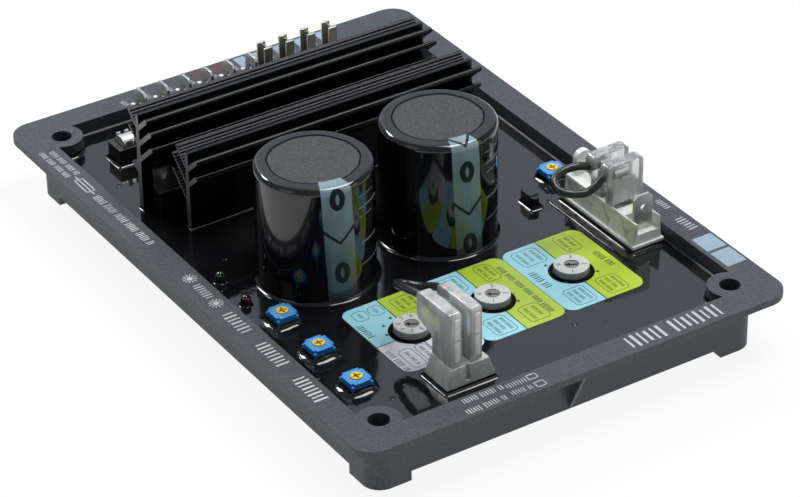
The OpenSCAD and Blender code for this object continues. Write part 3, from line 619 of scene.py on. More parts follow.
class Shape:
    """A mesh in millimetres that grows by closed solids."""

    def __init__(self) -> None:
        """Starts an empty mesh."""
        self.bm = bmesh.new()

    def mark(self, made: dict[str, list[Vert]], material: int) -> None:
        """Gives the faces of new vertices a material number."""
        for face in {f for v in made["verts"] for f in v.link_faces}:
            face.material_index = material

    def paint(self, test: Callable[[Face], bool], material: int = 1) -> None:
        """Gives the faces that pass a test a material number."""
        for face in filter(test, self.bm.faces):
            face.material_index = material

    def cube(self, place: Matrix, size: Sequence[float], material: int = 0) -> None:
        """Adds a box with its middle at a place."""
        grown = place @ Matrix.Diagonal((*size, 1.0))
        self.mark(bmesh.ops.create_cube(self.bm, size=1.0, matrix=grown), material)

    def box(self, centre: Triple, size: Triple, turn: float = 0.0, material: int = 0) -> None:
        """Adds a box, turned about Z by degrees."""
        place = Matrix.Translation(centre) @ Matrix.Rotation(math.radians(turn), 4, "Z")
        self.cube(place, size, material)

    def line(
        self, start: Point, end: Point, width: float, low: float, high: float, material: int = 0
    ) -> None:
        """Adds a flat bar from one point to another.

        Args:
            start: First end.
            end: Second end.
            width: Width of the bar.
            low: Height of its underside.
            high: Height of its top.
            material: Material number.
        """
        step = Vector(end) - Vector(start)
        middle = (Vector(start) + Vector(end)) / 2
        turn = math.degrees(math.atan2(step.y, step.x))
        size = (step.length + width * LINE_ENDS, width, high - low)
        self.box((*middle, (low + high) / 2), size, turn, material)

    def rod(self, place: Matrix, radius: float, height: float, segments: int, material: int = 0) -> None:
        """Adds an upright cylinder or prism.

        Args:
            place: Where its middle goes.
            radius: Its radius.
            height: Its length.
            segments: Sides round it.
            material: Material number.
        """
        sizes = {"segments": segments, "radius1": radius, "radius2": radius, "depth": height}
        self.mark(bmesh.ops.create_cone(self.bm, cap_ends=True, matrix=place, **sizes), material)

    def spun(self, centre: Triple, outline: Sequence[Point], steps: int, closed: bool) -> None:
        """Adds a turned solid.

        Args:
            centre: Point on its axis that the outline's heights count from.
            outline: Radius and height of each point.
            steps: Segments round the axis.
            closed: Whether the outline returns to its first point.
        """
        work = bmesh.new()
        verts = [work.verts.new((r, 0.0, z)) for r, z in outline]
        pairs = list(zip(verts, verts[1:])) + ([(verts[-1], verts[0])] if closed else [])
        geom = verts + [work.edges.new(pair) for pair in pairs]
        bmesh.ops.spin(
            work, geom=geom, axis=(0, 0, 1), cent=ORIGIN, angle=2 * math.pi, steps=steps, use_merge=True
        )
        self.take(work, Matrix.Translation(centre))

    def take(self, work: Mesh, place: Matrix = HERE, material: int = 0) -> None:
        """Takes in another mesh, closed up and turned outwards.

        Args:
            work: The mesh, which is freed.
            place: Where it goes.
            material: Material number.
        """
        bmesh.ops.remove_doubles(work, verts=work.verts, dist=WELD)
        bmesh.ops.recalc_face_normals(work, faces=work.faces)
        bmesh.ops.transform(work, matrix=place, verts=work.verts)
        for face in work.faces:
            face.material_index = material
        scratch = bpy.data.meshes.new("scratch")
        work.to_mesh(scratch)
        work.free()
        self.bm.from_mesh(scratch)
        bpy.data.meshes.remove(scratch)

    def ring(self, centre: Triple, inner: float, outer: float, height: float) -> None:
        """Adds a flat ring that stands on its centre."""
        outline = [(inner, 0.0), (outer, 0.0), (outer, height), (inner, height)]
        self.spun(centre, outline, RING_STEPS, True)

    def numeral(self, text: str, size: float, place: Matrix) -> None:
        """Adds a numeral as a film.

        Args:
            text: The digits.
            size: Height of the letters' body.
            place: Where its middle goes.
        """
        curve = bpy.data.curves.new("numeral", "FONT")
        curve.body = text
        curve.size = size
        curve.extrude = FILM / 2
        curve.resolution_u = 3
        curve.align_x = "CENTER"
        curve.align_y = "CENTER"
        holder = bpy.data.objects.new("numeral", curve)
        bpy.context.scene.collection.objects.link(holder)
        graph = bpy.context.evaluated_depsgraph_get()
        mesh = bpy.data.meshes.new_from_object(holder.evaluated_get(graph))
        work = bmesh.new()
        work.from_mesh(mesh)
        bpy.data.objects.remove(holder)
        bpy.data.curves.remove(curve)
        bpy.data.meshes.remove(mesh)
        self.take(work, place)

    def piece(
        self,
        name: str,
        finishes: Sequence[Finish],
        slot: str,
        replaces: Sequence[str] = (),
        body: str = ROOT,
        smooth: float = 35.0,
    ) -> None:
        """Makes the mesh a piece of the object.

        Args:
            name: Name of the piece.
            finishes: Finishes by material number.
            slot: Material slot of the record; not used.
            replaces: CAD nodes that it stands for.
            body: Body that it moves with.
            smooth: Largest angle between faces that is shaded smooth, in degrees.
        """
        bmesh.ops.scale(self.bm, vec=(MM, MM, MM), verts=self.bm.verts)
        mesh = bpy.data.meshes.new(name)
        self.bm.to_mesh(mesh)
        self.bm.free()
        for finish in finishes:
            mesh.materials.append(finish.material())
        mesh.shade_smooth()
        mesh.set_sharp_from_angle(angle=math.radians(smooth))
        obj = bpy.data.objects.new(name, mesh)
        bpy.context.scene.collection.objects.link(obj)
        weighted = obj.modifiers.new("flat_faces", "WEIGHTED_NORMAL")
        weighted.keep_sharp = True
        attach(obj, body)
        if replaces:
            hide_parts(*replaces)
        log.info("built %s, %d faces", name, len(mesh.polygons))


def softened(
    node: str,
    width: float,
    segments: int = 2,
    keep: Callable[[Edge], bool] = lambda edge: True,
) -> Shape:
    """Copies a CAD node with its edges rounded.

    Args:
        node: Name of the node.
        width: Width of the rounding.
        segments: Faces across it.
        keep: Tells which of the sharp edges are rounded.

    Returns:
        The copy, in millimetres.
    """
    shape = Shape()
    bm = shape.bm
    bm.from_mesh(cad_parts[node].data)
    shape.paint(lambda face: True, 0)
    bmesh.ops.scale(bm, vec=Vector((1 / MM,) * 3), verts=bm.verts)
    bmesh.ops.remove_doubles(bm, verts=bm.verts, dist=CAD_WELD)
    bmesh.ops.dissolve_limit(bm, angle_limit=FLAT, verts=bm.verts, edges=bm.edges)
    sharp = [e for e in bm.edges if e.is_manifold and e.calc_face_angle(0.0) > SHARP and keep(e)]
    rounded(bm, sharp, width, segments)
    return shape


# Tray and filling


@dataclass
class Tray:
    """The moulded tray with softened edges."""

    edge: float = 0.4

    def build(self) -> None:
        """Builds the tray and dresses the hidden board."""
        softened("tray", self.edge, 3).piece("tray_moulding", [TRAY], "tray", ["tray"])
        dress(BOARD, ["circuit_board"])


@dataclass
class Filling:
    """The resin with the collars that it leaves where it climbs walls and pieces."""

    climb: float = 1.3
    wide_climb: float = 1.8
    small_climb: float = 0.7
    wall_climb: float = 0.9
    bulge: float = 0.7
    swell_waves: float = 4.0
    swell_share: float = 0.3
    foot: float = -0.3
    rim_gap: float = 0.05
    steps: int = 5
    turns: int = 72
    side_cuts: int = 8
    lamps: tuple[Triple, ...] = ((1.3, -55.1, 1.5), (15.4, -55.1, 1.5))
    stems: tuple[Point, ...] = ((REAR_STEM, -5.8), (FRONT_STEM, 0.4))
    stem_size: Point = (2.2, 97.0)
    blocks: tuple[str, ...] = ("fuse_holder", "front_link_block", "side_link_block", "signal_transistor")
    drop_form: Triple = (1.0, 1.25, 0.22)
    drops: tuple[Triple, ...] = (
        (74.0, 14.5, 1.0), (78.5, 22.0, 0.7), (81.5, 8.0, 0.6), (62.5, -45.5, 0.6), (76.0, -46.0, 0.9),
        (-8.0, -48.0, 0.6), (33.0, 47.0, 0.7), (86.0, 41.0, 0.8), (60.0, 50.0, 0.6), (-12.0, 44.0, 0.9),
        (3.0, 46.5, 0.6), (-60.0, -54.0, 0.8), (20.0, -46.5, 0.5), (57.0, -57.5, 0.7), (78.0, -3.0, 0.5),
    )
    bead_width: float = 1.2
    bead_form: Triple = (1.0, 1.0, 0.8)
    beads: tuple[Point, ...] = (
        (17.5, 45.8), (19.4, 45.2), (30.0, 45.4), (42.0, 45.3), (54.0, 45.6), (57.8, 46.6),
    )

    def slope(self, climb: float) -> list[Point]:
        """Gives distance and height of the points down a concave collar."""
        turns = [QUARTER * i / self.steps for i in range(self.steps + 1)]
        return [(climb * (1 - math.cos(t)), climb * (1 - math.sin(t))) for t in turns]

    def round_collar(self, shape: Shape, place: Triple, climb: float) -> None:
        """Adds the collar round an upright cylinder.

        Args:
            shape: Mesh that takes it.
            place: X, Y and radius of the cylinder.
            climb: Height and width of the collar.
        """
        x, y, radius = place
        outline = [(radius + d, h) for d, h in self.slope(climb)]
        outline += [(radius + climb, self.foot), (radius, self.foot)]
        shape.spun((x, y, RESIN_TOP), outline, self.turns, True)

    def square_collar(
        self, shape: Shape, place: Sequence[float], size: Point, climb: float, bulge: float = 0.0
    ) -> None:
        """Adds the collar round an upright block, from its outer edge in and up.

        Args:
            shape: Mesh that takes it.
            place: Middle of the block.
            size: Size of the block along X and Y.
            climb: Height and width of the collar.
            bulge: How much wider it is at the middle of each side.
        """
        work = bmesh.new()
        length, width = size
        grown = Matrix.Diagonal((length + 2 * climb, width + 2 * climb, 1.0, 1.0))
        bmesh.ops.create_grid(work, x_segments=1, y_segments=1, size=0.5, matrix=grown)
        rounded(work, work.verts[:], climb + bulge, self.steps, "VERTICES")
        if bulge:
            sides = [e for e in work.edges if e.calc_length() > climb]
            bmesh.ops.subdivide_edges(work, edges=sides, cuts=self.side_cuts)
        face = work.faces[:][0]
        rows = self.slope(climb)[::-1]
        for (far, low), (near, high) in zip(rows, rows[1:]):
            inset(work, face, far - near, high - low)
        bmesh.ops.delete(work, geom=[face], context="FACES")
        for vert in work.verts:
            self.swell(vert, place[0], size, climb, bulge)
        made = bmesh.ops.extrude_edge_only(work, edges=[e for e in work.edges if e.is_boundary])["geom"]
        for vert in (g for g in made if isinstance(g, Vert)):
            if vert.co.z > climb / 2:
                vert.co.x *= 1.0 + 2 * self.rim_gap / length
                vert.co.y *= 1.0 + 2 * self.rim_gap / width
            vert.co.z = self.foot
        bmesh.ops.bridge_loops(work, edges=[e for e in work.edges if e.is_boundary])
        shape.take(work, Matrix.Translation((place[0], place[1], RESIN_TOP)))

    def swell(self, vert: Vert, phase: float, size: Point, climb: float, bulge: float) -> None:
        """Moves a vertex of a collar outwards, most at the middle of a side.

        Args:
            vert: The vertex.
            phase: Start of the wave along the sides.
            size: Size of the block along X and Y.
            climb: Height and width of the collar.
            bulge: How much wider it is at the middle of each side.
        """
        length, width = size
        along, across = 2 * vert.co.x / length, 2 * vert.co.y / width
        past_end, past_side = abs(along) * length - length, abs(across) * width - width
        run = max(past_end, past_side) / 2 / climb
        wave = math.sin(self.swell_waves * (along - across) + phase)
        reach = bulge * max(0.0, run) * (1.0 + self.swell_share * wave)
        if past_end > past_side:
            vert.co.x += math.copysign(reach * max(0.0, 1.0 - across**2), along)
        else:
            vert.co.y += math.copysign(reach * max(0.0, 1.0 - along**2), across)

    def wall_collar(self, shape: Shape, start: Vector, end: Vector) -> None:
        """Adds the collar along a straight wall of the pocket.

        Args:
            shape: Mesh that takes it.
            start: First end of the wall.
            end: Second end, with the pocket on the left.
        """
        along = (end - start).normalized()
        inward = Vector((-along.y, along.x))
        rows = [*self.slope(self.wall_climb), (self.wall_climb, self.foot), (0.0, self.foot)]
        points = [(*(start + inward * d), RESIN_TOP + h) for d, h in rows]
        shape.take(swept(points, (*(end - start), 0.0)), material=1)

    def drop(self, shape: Shape, x: float, y: float, radius: float) -> None:
        """Adds a low drop of resin on the surface.

        Args:
            shape: Mesh that takes it.
            x: Its middle along X.
            y: Its middle along Y.
            radius: Its radius.
        """
        work = bmesh.new()
        bmesh.ops.create_uvsphere(work, u_segments=14, v_segments=8, radius=radius)
        bmesh.ops.scale(work, vec=self.drop_form, verts=work.verts)
        shape.take(work, Matrix.Translation((x, y, RESIN_TOP)))

    def bead(self, shape: Shape, start: Point, end: Point) -> None:
        """Adds a low round bead that lies on the resin between two points.

        Args:
            shape: Mesh that takes it.
            start: First end.
            end: Second end.
        """
        work = bmesh.new()
        step = Vector(end) - Vector(start)
        bmesh.ops.create_uvsphere(work, u_segments=16, v_segments=8, radius=self.bead_width / 2)
        far = [v for v in work.verts if v.co.x > TINY]
        bmesh.ops.translate(work, vec=(step.length, 0.0, 0.0), verts=far)
        bmesh.ops.scale(work, vec=self.bead_form, verts=work.verts)
        turn = Matrix.Rotation(math.atan2(step.y, step.x), 4, "Z")
        shape.take(work, Matrix.Translation((*start, RESIN_TOP)) @ turn)

    def build(self) -> None:
        """Dresses the resin and adds its collars and drops."""
        dress(RESIN, ["potting_resin"])
        shape = Shape()
        bosses = [(sx * FIXINGS[0], sy * FIXINGS[1], BOSS_RADIUS) for sx in (-1, 1) for sy in (-1, 1)]
        cans = [(*centre, CAN_RADIUS) for centre in CANS]
        rounds = ((cans, self.climb), (self.lamps, self.small_climb), (bosses, self.climb))
        for places, climb in rounds:
            for place in places:
                self.round_collar(shape, place, climb)
        for place in self.stems:
            self.square_collar(shape, place, self.stem_size, self.small_climb)
        trimmers = numbered("trimmer", len(TRIMMERS))
        squares = ((trimmers, self.wide_climb, self.bulge), (self.blocks, self.climb, 0.0))
        for nodes, climb, bulge in squares:
            for node in nodes:
                low, high = corners(node)
                size = (high.x - low.x, high.y - low.y)
                self.square_collar(shape, (low + high) / 2, size, climb, bulge)
        px, py = POCKET
        walls = [Vector(corner) for corner in ((-px, -py), (px, -py), (px, py), (-px, py))]
        for start, end in zip(walls, walls[1:] + walls[:1]):
            self.wall_collar(shape, start, end)
        for drop in self.drops:
            self.drop(shape, *drop)
        for start, end in zip(self.beads, self.beads[1:]):
            self.bead(shape, start, end)
        shape.piece("resin_collars", [RESIN, RESIN_EDGE], "resin", smooth=60.0)


# Capacitors


@dataclass(frozen=True)
class Stripe:
    """A can's polarity stripe: its place in degrees and the heights of its marks."""

    angle: float
    lean: float
    half_angle: float
    marks: tuple[float, ...]
    chevrons: tuple[float, ...]


@dataclass
class Can:
    """A capacitor in its shrunk sleeve, with a polarity stripe and an end disc."""

    index: int
    centre: Point
    stripe: Stripe
    radius: float = CAN_RADIUS
    bottom: float = 9.1
    top: float = 51.4
    rim: float = 1.8
    rim_steps: int = 8
    rows: int = 12
    segments: int = 120
    flat_radius: float = 14.6
    fold_share: float = 0.12
    shrink: float = 0.0012
    shrink_waves: Point = (3.0, 0.25)
    groove: float = 0.5
    groove_rise: float = 0.1
    lip_radius: float = 13.2
    lip_edge: tuple[Point, ...] = ((0.0, 0.0), (0.05, 0.3), (0.3, 0.35))
    lip_shift: float = 0.3
    lip_turn: float = 149.0
    lip_waves: tuple[tuple[float, int], ...] = ((0.12, 5), (0.08, 11))
    disc_radius: float = 14.4
    disc_drop: float = 0.16
    disc_thickness: float = 0.24
    disc_steps: int = 72
    stripe_ends: Point = (0.4, 3.1)
    stripe_lift: float = 0.03
    mark_lift: float = 0.07
    mark_size: Point = (4.6, 7.0)
    mark_width: float = 1.7
    chevron_rise: float = 4.3
    chevron_width: float = 0.8
    bar_gap: float = 2.2
    bar_widths: Point = (0.35, 0.6)
    bars: tuple[Point, ...] = ((7.0, 46.2), (9.5, 42.6), (6.0, 39.6), (8.5, 31.0), (9.5, 24.0))
    bend: float = 1.2

    @property
    def name(self) -> str:
        """Gives the name of the can's CAD node."""
        return f"capacitor_{self.index}"

    @property
    def half(self) -> float:
        """Gives half the stripe's width."""
        return math.radians(self.stripe.half_angle) * self.radius

    def path(self, s: float, lift: float) -> Point:
        """Gives radius and height at a length along the sleeve.

        Args:
            s: Height on the straight side, and on over the rim beyond it.
            lift: Distance out from the sleeve.

        Returns:
            Radius and height.
        """
        straight = self.top - self.rim
        arc = self.rim * QUARTER
        if s <= straight:
            return self.radius + lift, s
        if s <= straight + arc:
            turn = (s - straight) / self.rim
            reach = self.rim + lift
            return self.radius - self.rim + reach * math.cos(turn), straight + reach * math.sin(turn)
        return self.radius - self.rim - (s - straight - arc), self.top + lift

    def follow(self, vert: Vert) -> None:
        """Moves a vertex near the sleeve's inner edge as that edge is uneven.

        Args:
            vert: The vertex.
        """
        span = Vector(vert.co.xy)
        angle = math.atan2(vert.co.y, vert.co.x)
        (first, slow), (second, fast) = self.lip_waves
        wave = first * math.sin(slow * angle + self.index) + second * math.sin(fast * angle)
        edge = self.lip_radius + self.lip_shift * math.cos(angle - math.radians(self.lip_turn)) + wave
        vert.co.xy = span * ((span.length - self.lip_radius + edge) / span.length)

    def place(self, shape: Shape) -> None:
        """Moves a mesh from the origin to the can's axis."""
        bmesh.ops.translate(shape.bm, vec=(*self.centre, 0.0), verts=shape.bm.verts)

    def sleeve(self) -> None:
        """Builds the sleeve with its rolled rim and uneven inner edge."""
        straight = self.top - self.rim
        rise = straight - self.bottom
        lip = [(self.lip_radius - inward, self.top - drop) for inward, drop in self.lip_edge]
        outline = [(0.0, self.bottom), (self.radius, self.bottom)]
        outline += [(self.radius, self.bottom + rise * i / self.rows) for i in range(1, self.rows)]
        for i in range(self.rim_steps + 1):
            outline.append(self.path(straight + self.rim * (QUARTER * i / self.rim_steps), 0.0))
        outline += [(self.flat_radius, self.top), *lip, (0.0, lip[-1][1])]
        shape = Shape()
        shape.spun(ORIGIN, outline, self.segments, False)
        lips = {round(r, 3) for r, _ in lip}
        for vert in shape.bm.verts:
            span = Vector(vert.co.xy)
            if round(span.length, 3) in lips and vert.co.z > straight:
                self.follow(vert)
            elif span.length > self.radius - 0.001 and vert.co.z < straight:
                angle = math.atan2(vert.co.y, vert.co.x)
                around, upwards = self.shrink_waves
                wave = math.sin(around * angle + upwards * vert.co.z + self.index)
                vert.co.xy = span * (1.0 - self.shrink * (1 + wave))
        fold = self.top - self.fold_share * self.rim
        shape.paint(lambda face: face.calc_center_median().z > fold)
        self.place(shape)
        shape.piece(f"{self.name}_sleeve", [SLEEVE, FOLD], "can_sleeve", [self.name], smooth=SOFT)

    def disc(self) -> None:
        """Builds the matt end disc and a ring of painted shadow in the groove along the sleeve's edge."""
        high = self.top - self.disc_drop
        low = high - self.disc_thickness
        shape = Shape()
        outline = [(0.0, low), (self.disc_radius, low), (self.disc_radius, high), (0.0, high)]
        shape.spun(ORIGIN, outline, self.disc_steps, False)
        # Ring of painted shadow along the sleeve's edge
        line = Shape()
        rise = self.groove_rise
        line.ring((0.0, 0.0, high), self.lip_radius - self.groove, self.lip_radius + rise, rise)
        for vert in line.bm.verts:
            self.follow(vert)
        shape.take(line.bm, material=1)
        self.place(shape)
        shape.piece(f"{self.name}_end_disc", [DISC, GROOVE_SHADOW], "can_disc", [f"{self.name}_disc"])

    def wrap(self, shape: Shape, lift: float, name: str, finish: Finish, cuts: int = 0) -> None:
        """Bends flat print onto the sleeve and makes it a piece.

        Args:
            shape: Print with its width along X, its height along Y and its thickness along Z.
            lift: Distance of the print's underside from the sleeve.
            name: Last words of the piece's name.
            finish: Its finish.
            cuts: Cuts across each long edge, so that it bends.
        """
        bm = shape.bm
        if cuts:
            long = [e for e in bm.edges if e.calc_length() > self.bend]
            bmesh.ops.subdivide_edges(bm, edges=long, cuts=cuts)
        for vert in bm.verts:
            u, s, rise = vert.co
            lean = self.stripe.lean * (self.top - s)
            angle = math.radians(self.stripe.angle + lean) + u / self.radius
            r, z = self.path(s, rise + lift)
            vert.co = (self.centre[0] + r * math.cos(angle), self.centre[1] + r * math.sin(angle), z)
        bmesh.ops.recalc_face_normals(bm, faces=bm.faces)
        shape.piece(f"{self.name}_{name}", [finish], "can_sleeve", smooth=SOFT)

    def band(self) -> None:
        """Builds the pale stripe with its ovals and chevrons."""
        half = self.half
        below, over = self.stripe_ends
        low = RESIN_TOP - below
        high = self.top - self.rim + self.rim * QUARTER + over
        film = Shape()
        size = Matrix.Diagonal((2 * half, high - low, 1.0, 1.0))
        grown = Matrix.Translation((0.0, (low + high) / 2, FILM / 2)) @ size
        bmesh.ops.create_grid(film.bm, x_segments=14, y_segments=60, size=0.5, matrix=grown)
        bmesh.ops.solidify(film.bm, geom=film.bm.faces[:], thickness=FILM)
        self.wrap(film, self.stripe_lift, "stripe", STRIPE)
        ink = Shape()
        for height in self.stripe.marks:
            self.oval(ink, height)
        for height in self.stripe.chevrons:
            for side in (-half, half):
                ink.line((side, height + self.chevron_rise), (0.0, height), self.chevron_width, 0.0, FILM)
        self.wrap(ink, self.mark_lift, "stripe_marks", INK_TEAL, 6)

    def oval(self, ink: Shape, height: float) -> None:
        """Adds an upright oval ring to the stripe's print.

        Args:
            ink: The print.
            height: Height of its middle.
        """
        work = bmesh.new()
        bmesh.ops.create_circle(work, cap_ends=True, segments=36, radius=0.5)
        bmesh.ops.scale(work, vec=(*self.mark_size, 1.0), verts=work.verts)
        face = work.faces[:][0]
        inset(work, face, self.mark_width)
        bmesh.ops.delete(work, geom=[face], context="FACES")
        bmesh.ops.solidify(work, geom=work.faces[:], thickness=FILM)
        ink.take(work, Matrix.Translation((0.0, height, FILM / 2)))

    def side_bars(self) -> None:
        """Adds plain bars beside the stripe, where the sleeve carries print."""
        ink = Shape()
        start = self.half + self.bar_gap
        for row, (length, height) in enumerate(self.bars):
            ink.box((start + length / 2, height, FILM / 2), (length, self.bar_widths[row % 2], FILM))
        self.wrap(ink, self.stripe_lift, "bars", INK_GREY, 8)

    def build(self) -> None:
        """Builds the whole can."""
        for step in (self.sleeve, self.disc, self.band, self.side_bars):
            step()


# Metalwork and devices


@dataclass
class Metalwork:
    """Terminals, blades, sockets and heat sinks."""

    edge: float = 0.14
    fin_edge: float = 0.06
    fin_angle: float = 42.0
    fin_thickness: float = 0.9
    tooth_tops: Point = (0.3, 0.6)
    rib: Point = (0.4, 0.8)
    rib_pitch: float = 1.9
    rib_start: float = 0.75
    rear_fins: tuple[Point, ...] = ((41.2, 5.2), (35.7, 5.3))
    front_fins: tuple[Point, ...] = ((33.9, 6.3), (28.4, 8.5), (22.9, 8.7))

    def ribs(self, shape: Shape, node: str, stem: float, fins: Sequence[Point]) -> None:
        """Adds fine ribs between the teeth of a sink's thin fins; ribs and tooth tops get wear and painted
        highlight.

        Args:
            shape: Mesh of the sink.
            node: CAD node of the sink.
            stem: X of the sink's stem.
            fins: Height of each fin's root and its reach.
        """
        low, high = corners(node)
        lean = math.radians(self.fin_angle)
        along = Vector((-math.cos(lean), 0.0, math.sin(lean)))
        upward = Vector((math.sin(lean), 0.0, math.cos(lean)))
        half = self.fin_thickness / 2
        wide, tall = self.rib
        least, most = self.tooth_tops
        for root, reach in fins:
            run = (reach - half) / math.cos(lean)
            foot = Vector((stem, 0.0, root))
            for face in shape.bm.faces:
                span = face.calc_center_median() - foot
                if 0.0 < span.dot(along) < run and least < span.dot(upward) - half < most:
                    # Tooth tops get the finish of wear and painted highlight
                    face.material_index = 1
            step = run - self.rib_start * self.rib_pitch
            while step > run / 3:
                spot = Vector((stem, (low.y + high.y) / 2, root)) + along * step
                spot += upward * (half + wide - tall / 2)
                place = Matrix.Translation(spot) @ Matrix.Rotation(lean, 4, "Y")
                shape.cube(place, (wide, high.y - low.y, tall), 1)
                step -= self.rib_pitch

    def build(self) -> None:
        """Softens the blades and the sinks and dresses the sockets."""
        for finish, names in (
            (BRIGHT, numbered("terminal", 6)),
            (BRASSY, numbered("twin_terminal", 4)),
            (TINNED, ["front_link_blades", "side_link_blades"]),
        ):
            for name in names:
                softened(name, self.edge).piece(f"{name}_tinned", [finish], "tinned_metal", [name])
        dress(TINNED, ["front_link_receptacles", "side_link_receptacles", "fuse_clips"])
        for name, stem, fins in (
            ("rear_heat_sink", REAR_STEM, self.rear_fins),
            ("front_heat_sink", FRONT_STEM, self.front_fins),
        ):
            shape = softened(name, self.fin_edge, 1)
            self.ribs(shape, name, stem, fins)
            shape.piece(f"{name}_extrusion", [ANODISED, RIB_WEAR_AND_HIGHLIGHT], "anodised", [name])
        dress(STEEL, ["device_screws"])


@dataclass
class PowerDevices:
    """Moulded power devices on their metal tabs."""

    edge: float = 0.2
    body: Point = (12.15, 21.05)

    def build(self) -> None:
        """Builds the three devices and the small transistor."""
        for name in [*numbered("power_device", 3), "signal_transistor"]:
            shape = softened(name, self.edge)
            finishes = [BLACK]
            if name.startswith("power"):
                low, high = self.body
                # The tab is darkened with painted shade
                shape.paint(lambda face: not low <= face.calc_center_median().z <= high)
                finishes.append(TAB_PAINTED_SHADE)
            shape.piece(f"{name}_case", finishes, "black_plastic", [name])


@dataclass
class Fuse:
    """A glass fuse with pressed caps in its holder."""

    place: Triple = (-72.2, -36.2, 20.0)
    length: float = 20.0
    cap_length: float = 5.0
    cap_radius: float = 2.7
    cap_edge: tuple[Point, ...] = ((0.5, 0.0), (0.1, 0.12), (0.0, 0.5))
    cap_fold: float = 0.2
    cap_bite: float = 0.3
    glass_radius: float = 2.5
    glass_wall: float = 0.6
    glass_overlap: float = 0.4
    wire_radius: float = 0.14
    holder_edge: float = 0.3

    def build(self) -> None:
        """Builds the holder, the caps, the glass and the wire in it."""
        holder = softened("fuse_holder", self.holder_edge)
        holder.piece("fuse_holder_body", [BLACK], "black_plastic", ["fuse_holder"])
        turn = Matrix.Translation(self.place) @ Matrix.Rotation(-QUARTER, 4, "X")
        glass, r = self.glass_radius, self.cap_radius
        end = self.length / 2
        inner = end - self.cap_length
        metal = Shape()
        outline = [(0.0, end), *((r - inward, end - drop) for inward, drop in self.cap_edge)]
        outline += [(r, inner + self.cap_fold), (r - self.cap_fold, inner)]
        outline += [(glass - self.cap_bite, inner), (0.0, inner)]
        for side in (-1, 1):
            metal.spun(ORIGIN, [(p, side * q) for p, q in outline], 40, False)
        metal.rod(HERE, self.wire_radius, 2 * inner, 10)
        high = inner + self.glass_overlap
        tube = Shape()
        tube.ring((0.0, 0.0, -high), glass - self.glass_wall, glass, 2 * high)
        for shape in (metal, tube):
            bmesh.ops.transform(shape.bm, matrix=turn, verts=shape.bm.verts)
        metal.piece("fuse_caps", [TINNED], "tinned_metal")
        tube.piece("fuse_tube", [GLASS], "fuse_glass", ["fuse"])


# Trimmers and selectors


@dataclass
class Trimmer:
    """A square trimmer with a scale round its slotted rotor."""

    index: int
    place: Point
    top: float = 18.0
    edge: float = 0.2
    rotor_edge: float = 0.08
    level: float = 0.9
    face_depth: float = 1.2
    slot_depth: float = 0.2
    scale_inner: float = 2.05
    scale_outer: float = 2.75
    scale_width: float = 0.16
    scale_marks: int = 11
    scale_start: float = 45.0
    scale_sweep: float = 270.0

    def build(self) -> None:
        """Builds the body with painted light on its top and its scale, and the rotor with painted shadow on
        its slot floor.
        """
        name = f"trimmer_{self.index}"
        case = softened(name, self.edge)
        face_low = self.top - self.face_depth
        # Painted light on the top face
        case.paint(lambda face: face.normal.z > self.level and face.calc_center_median().z > face_low)
        for i in range(self.scale_marks):
            turn = math.radians(self.scale_start + self.scale_sweep * i / (self.scale_marks - 1))
            ray = Vector((math.cos(turn), math.sin(turn)))
            start = Vector(self.place) + ray * self.scale_inner
            end = Vector(self.place) + ray * self.scale_outer
            case.line(tuple(start), tuple(end), self.scale_width, self.top - FILM / 2, self.top + FILM, 2)
        case.piece(f"{name}_case", [BLUE, BLUE_PAINTED_LIGHT, INK_WHITE], "blue_plastic", [name])
        rotor = f"{name}_rotor"
        knob = softened(rotor, self.rotor_edge)
        slot_high = self.top - self.slot_depth
        # Painted shadow on the slot floor
        knob.paint(lambda face: face.normal.z > self.level and face.calc_center_median().z < slot_high)
        knob.piece(f"{rotor}_knob", [YELLOW, INK_BLACK], "yellow_plastic", [rotor], body=rotor)


@dataclass
class Selector:
    """A rotary selector: a dark housing and a white dial with a slot arrow."""

    index: int
    place: Point
    numerals: str
    top: float = 17.0
    radius: float = 5.1
    rim: float = 0.3
    edge: float = 0.25
    zero: float = 240.0
    numeral_size: float = 2.1
    numeral_reach: float = 3.65
    white: Colour = (0.66, 0.66, 0.65)

    def on_rim(self, edge: Edge) -> bool:
        """Tells whether an edge lies on the dial's rim."""
        middle = Vector(self.place)
        return all((v.co.xy - middle).length > self.radius - self.rim for v in edge.verts)

    def build(self) -> None:
        """Builds the dial with a rounded rim, and prints the numerals round its hub."""
        housing = f"selector_{self.index}"
        dress(BLACK, [housing])
        dial = f"{housing}_dial"
        finish = DialFinish(f"{dial}_white", self.white, 0.4, grain_size=0.3, drift=0.05, centre=self.place)
        plate = softened(dial, self.edge, 3, self.on_rim)
        plate.piece(f"{dial}_plate", [finish], "white_plastic", [dial], body=dial)
        ink = Shape()
        for i, text in enumerate(self.numerals):
            turn = math.radians(self.zero) + 2 * math.pi * i / len(self.numerals)
            spot = Vector((math.cos(turn), math.sin(turn))) * self.numeral_reach + Vector(self.place)
            upright = Matrix.Rotation(turn - QUARTER, 4, "Z")
            place = Matrix.Translation((*spot, self.top + FILM / 2)) @ upright
            ink.numeral(text, self.numeral_size, place)
        ink.piece(f"{dial}_numerals", [INK_BLACK], "white_plastic", body=dial)


# Prints


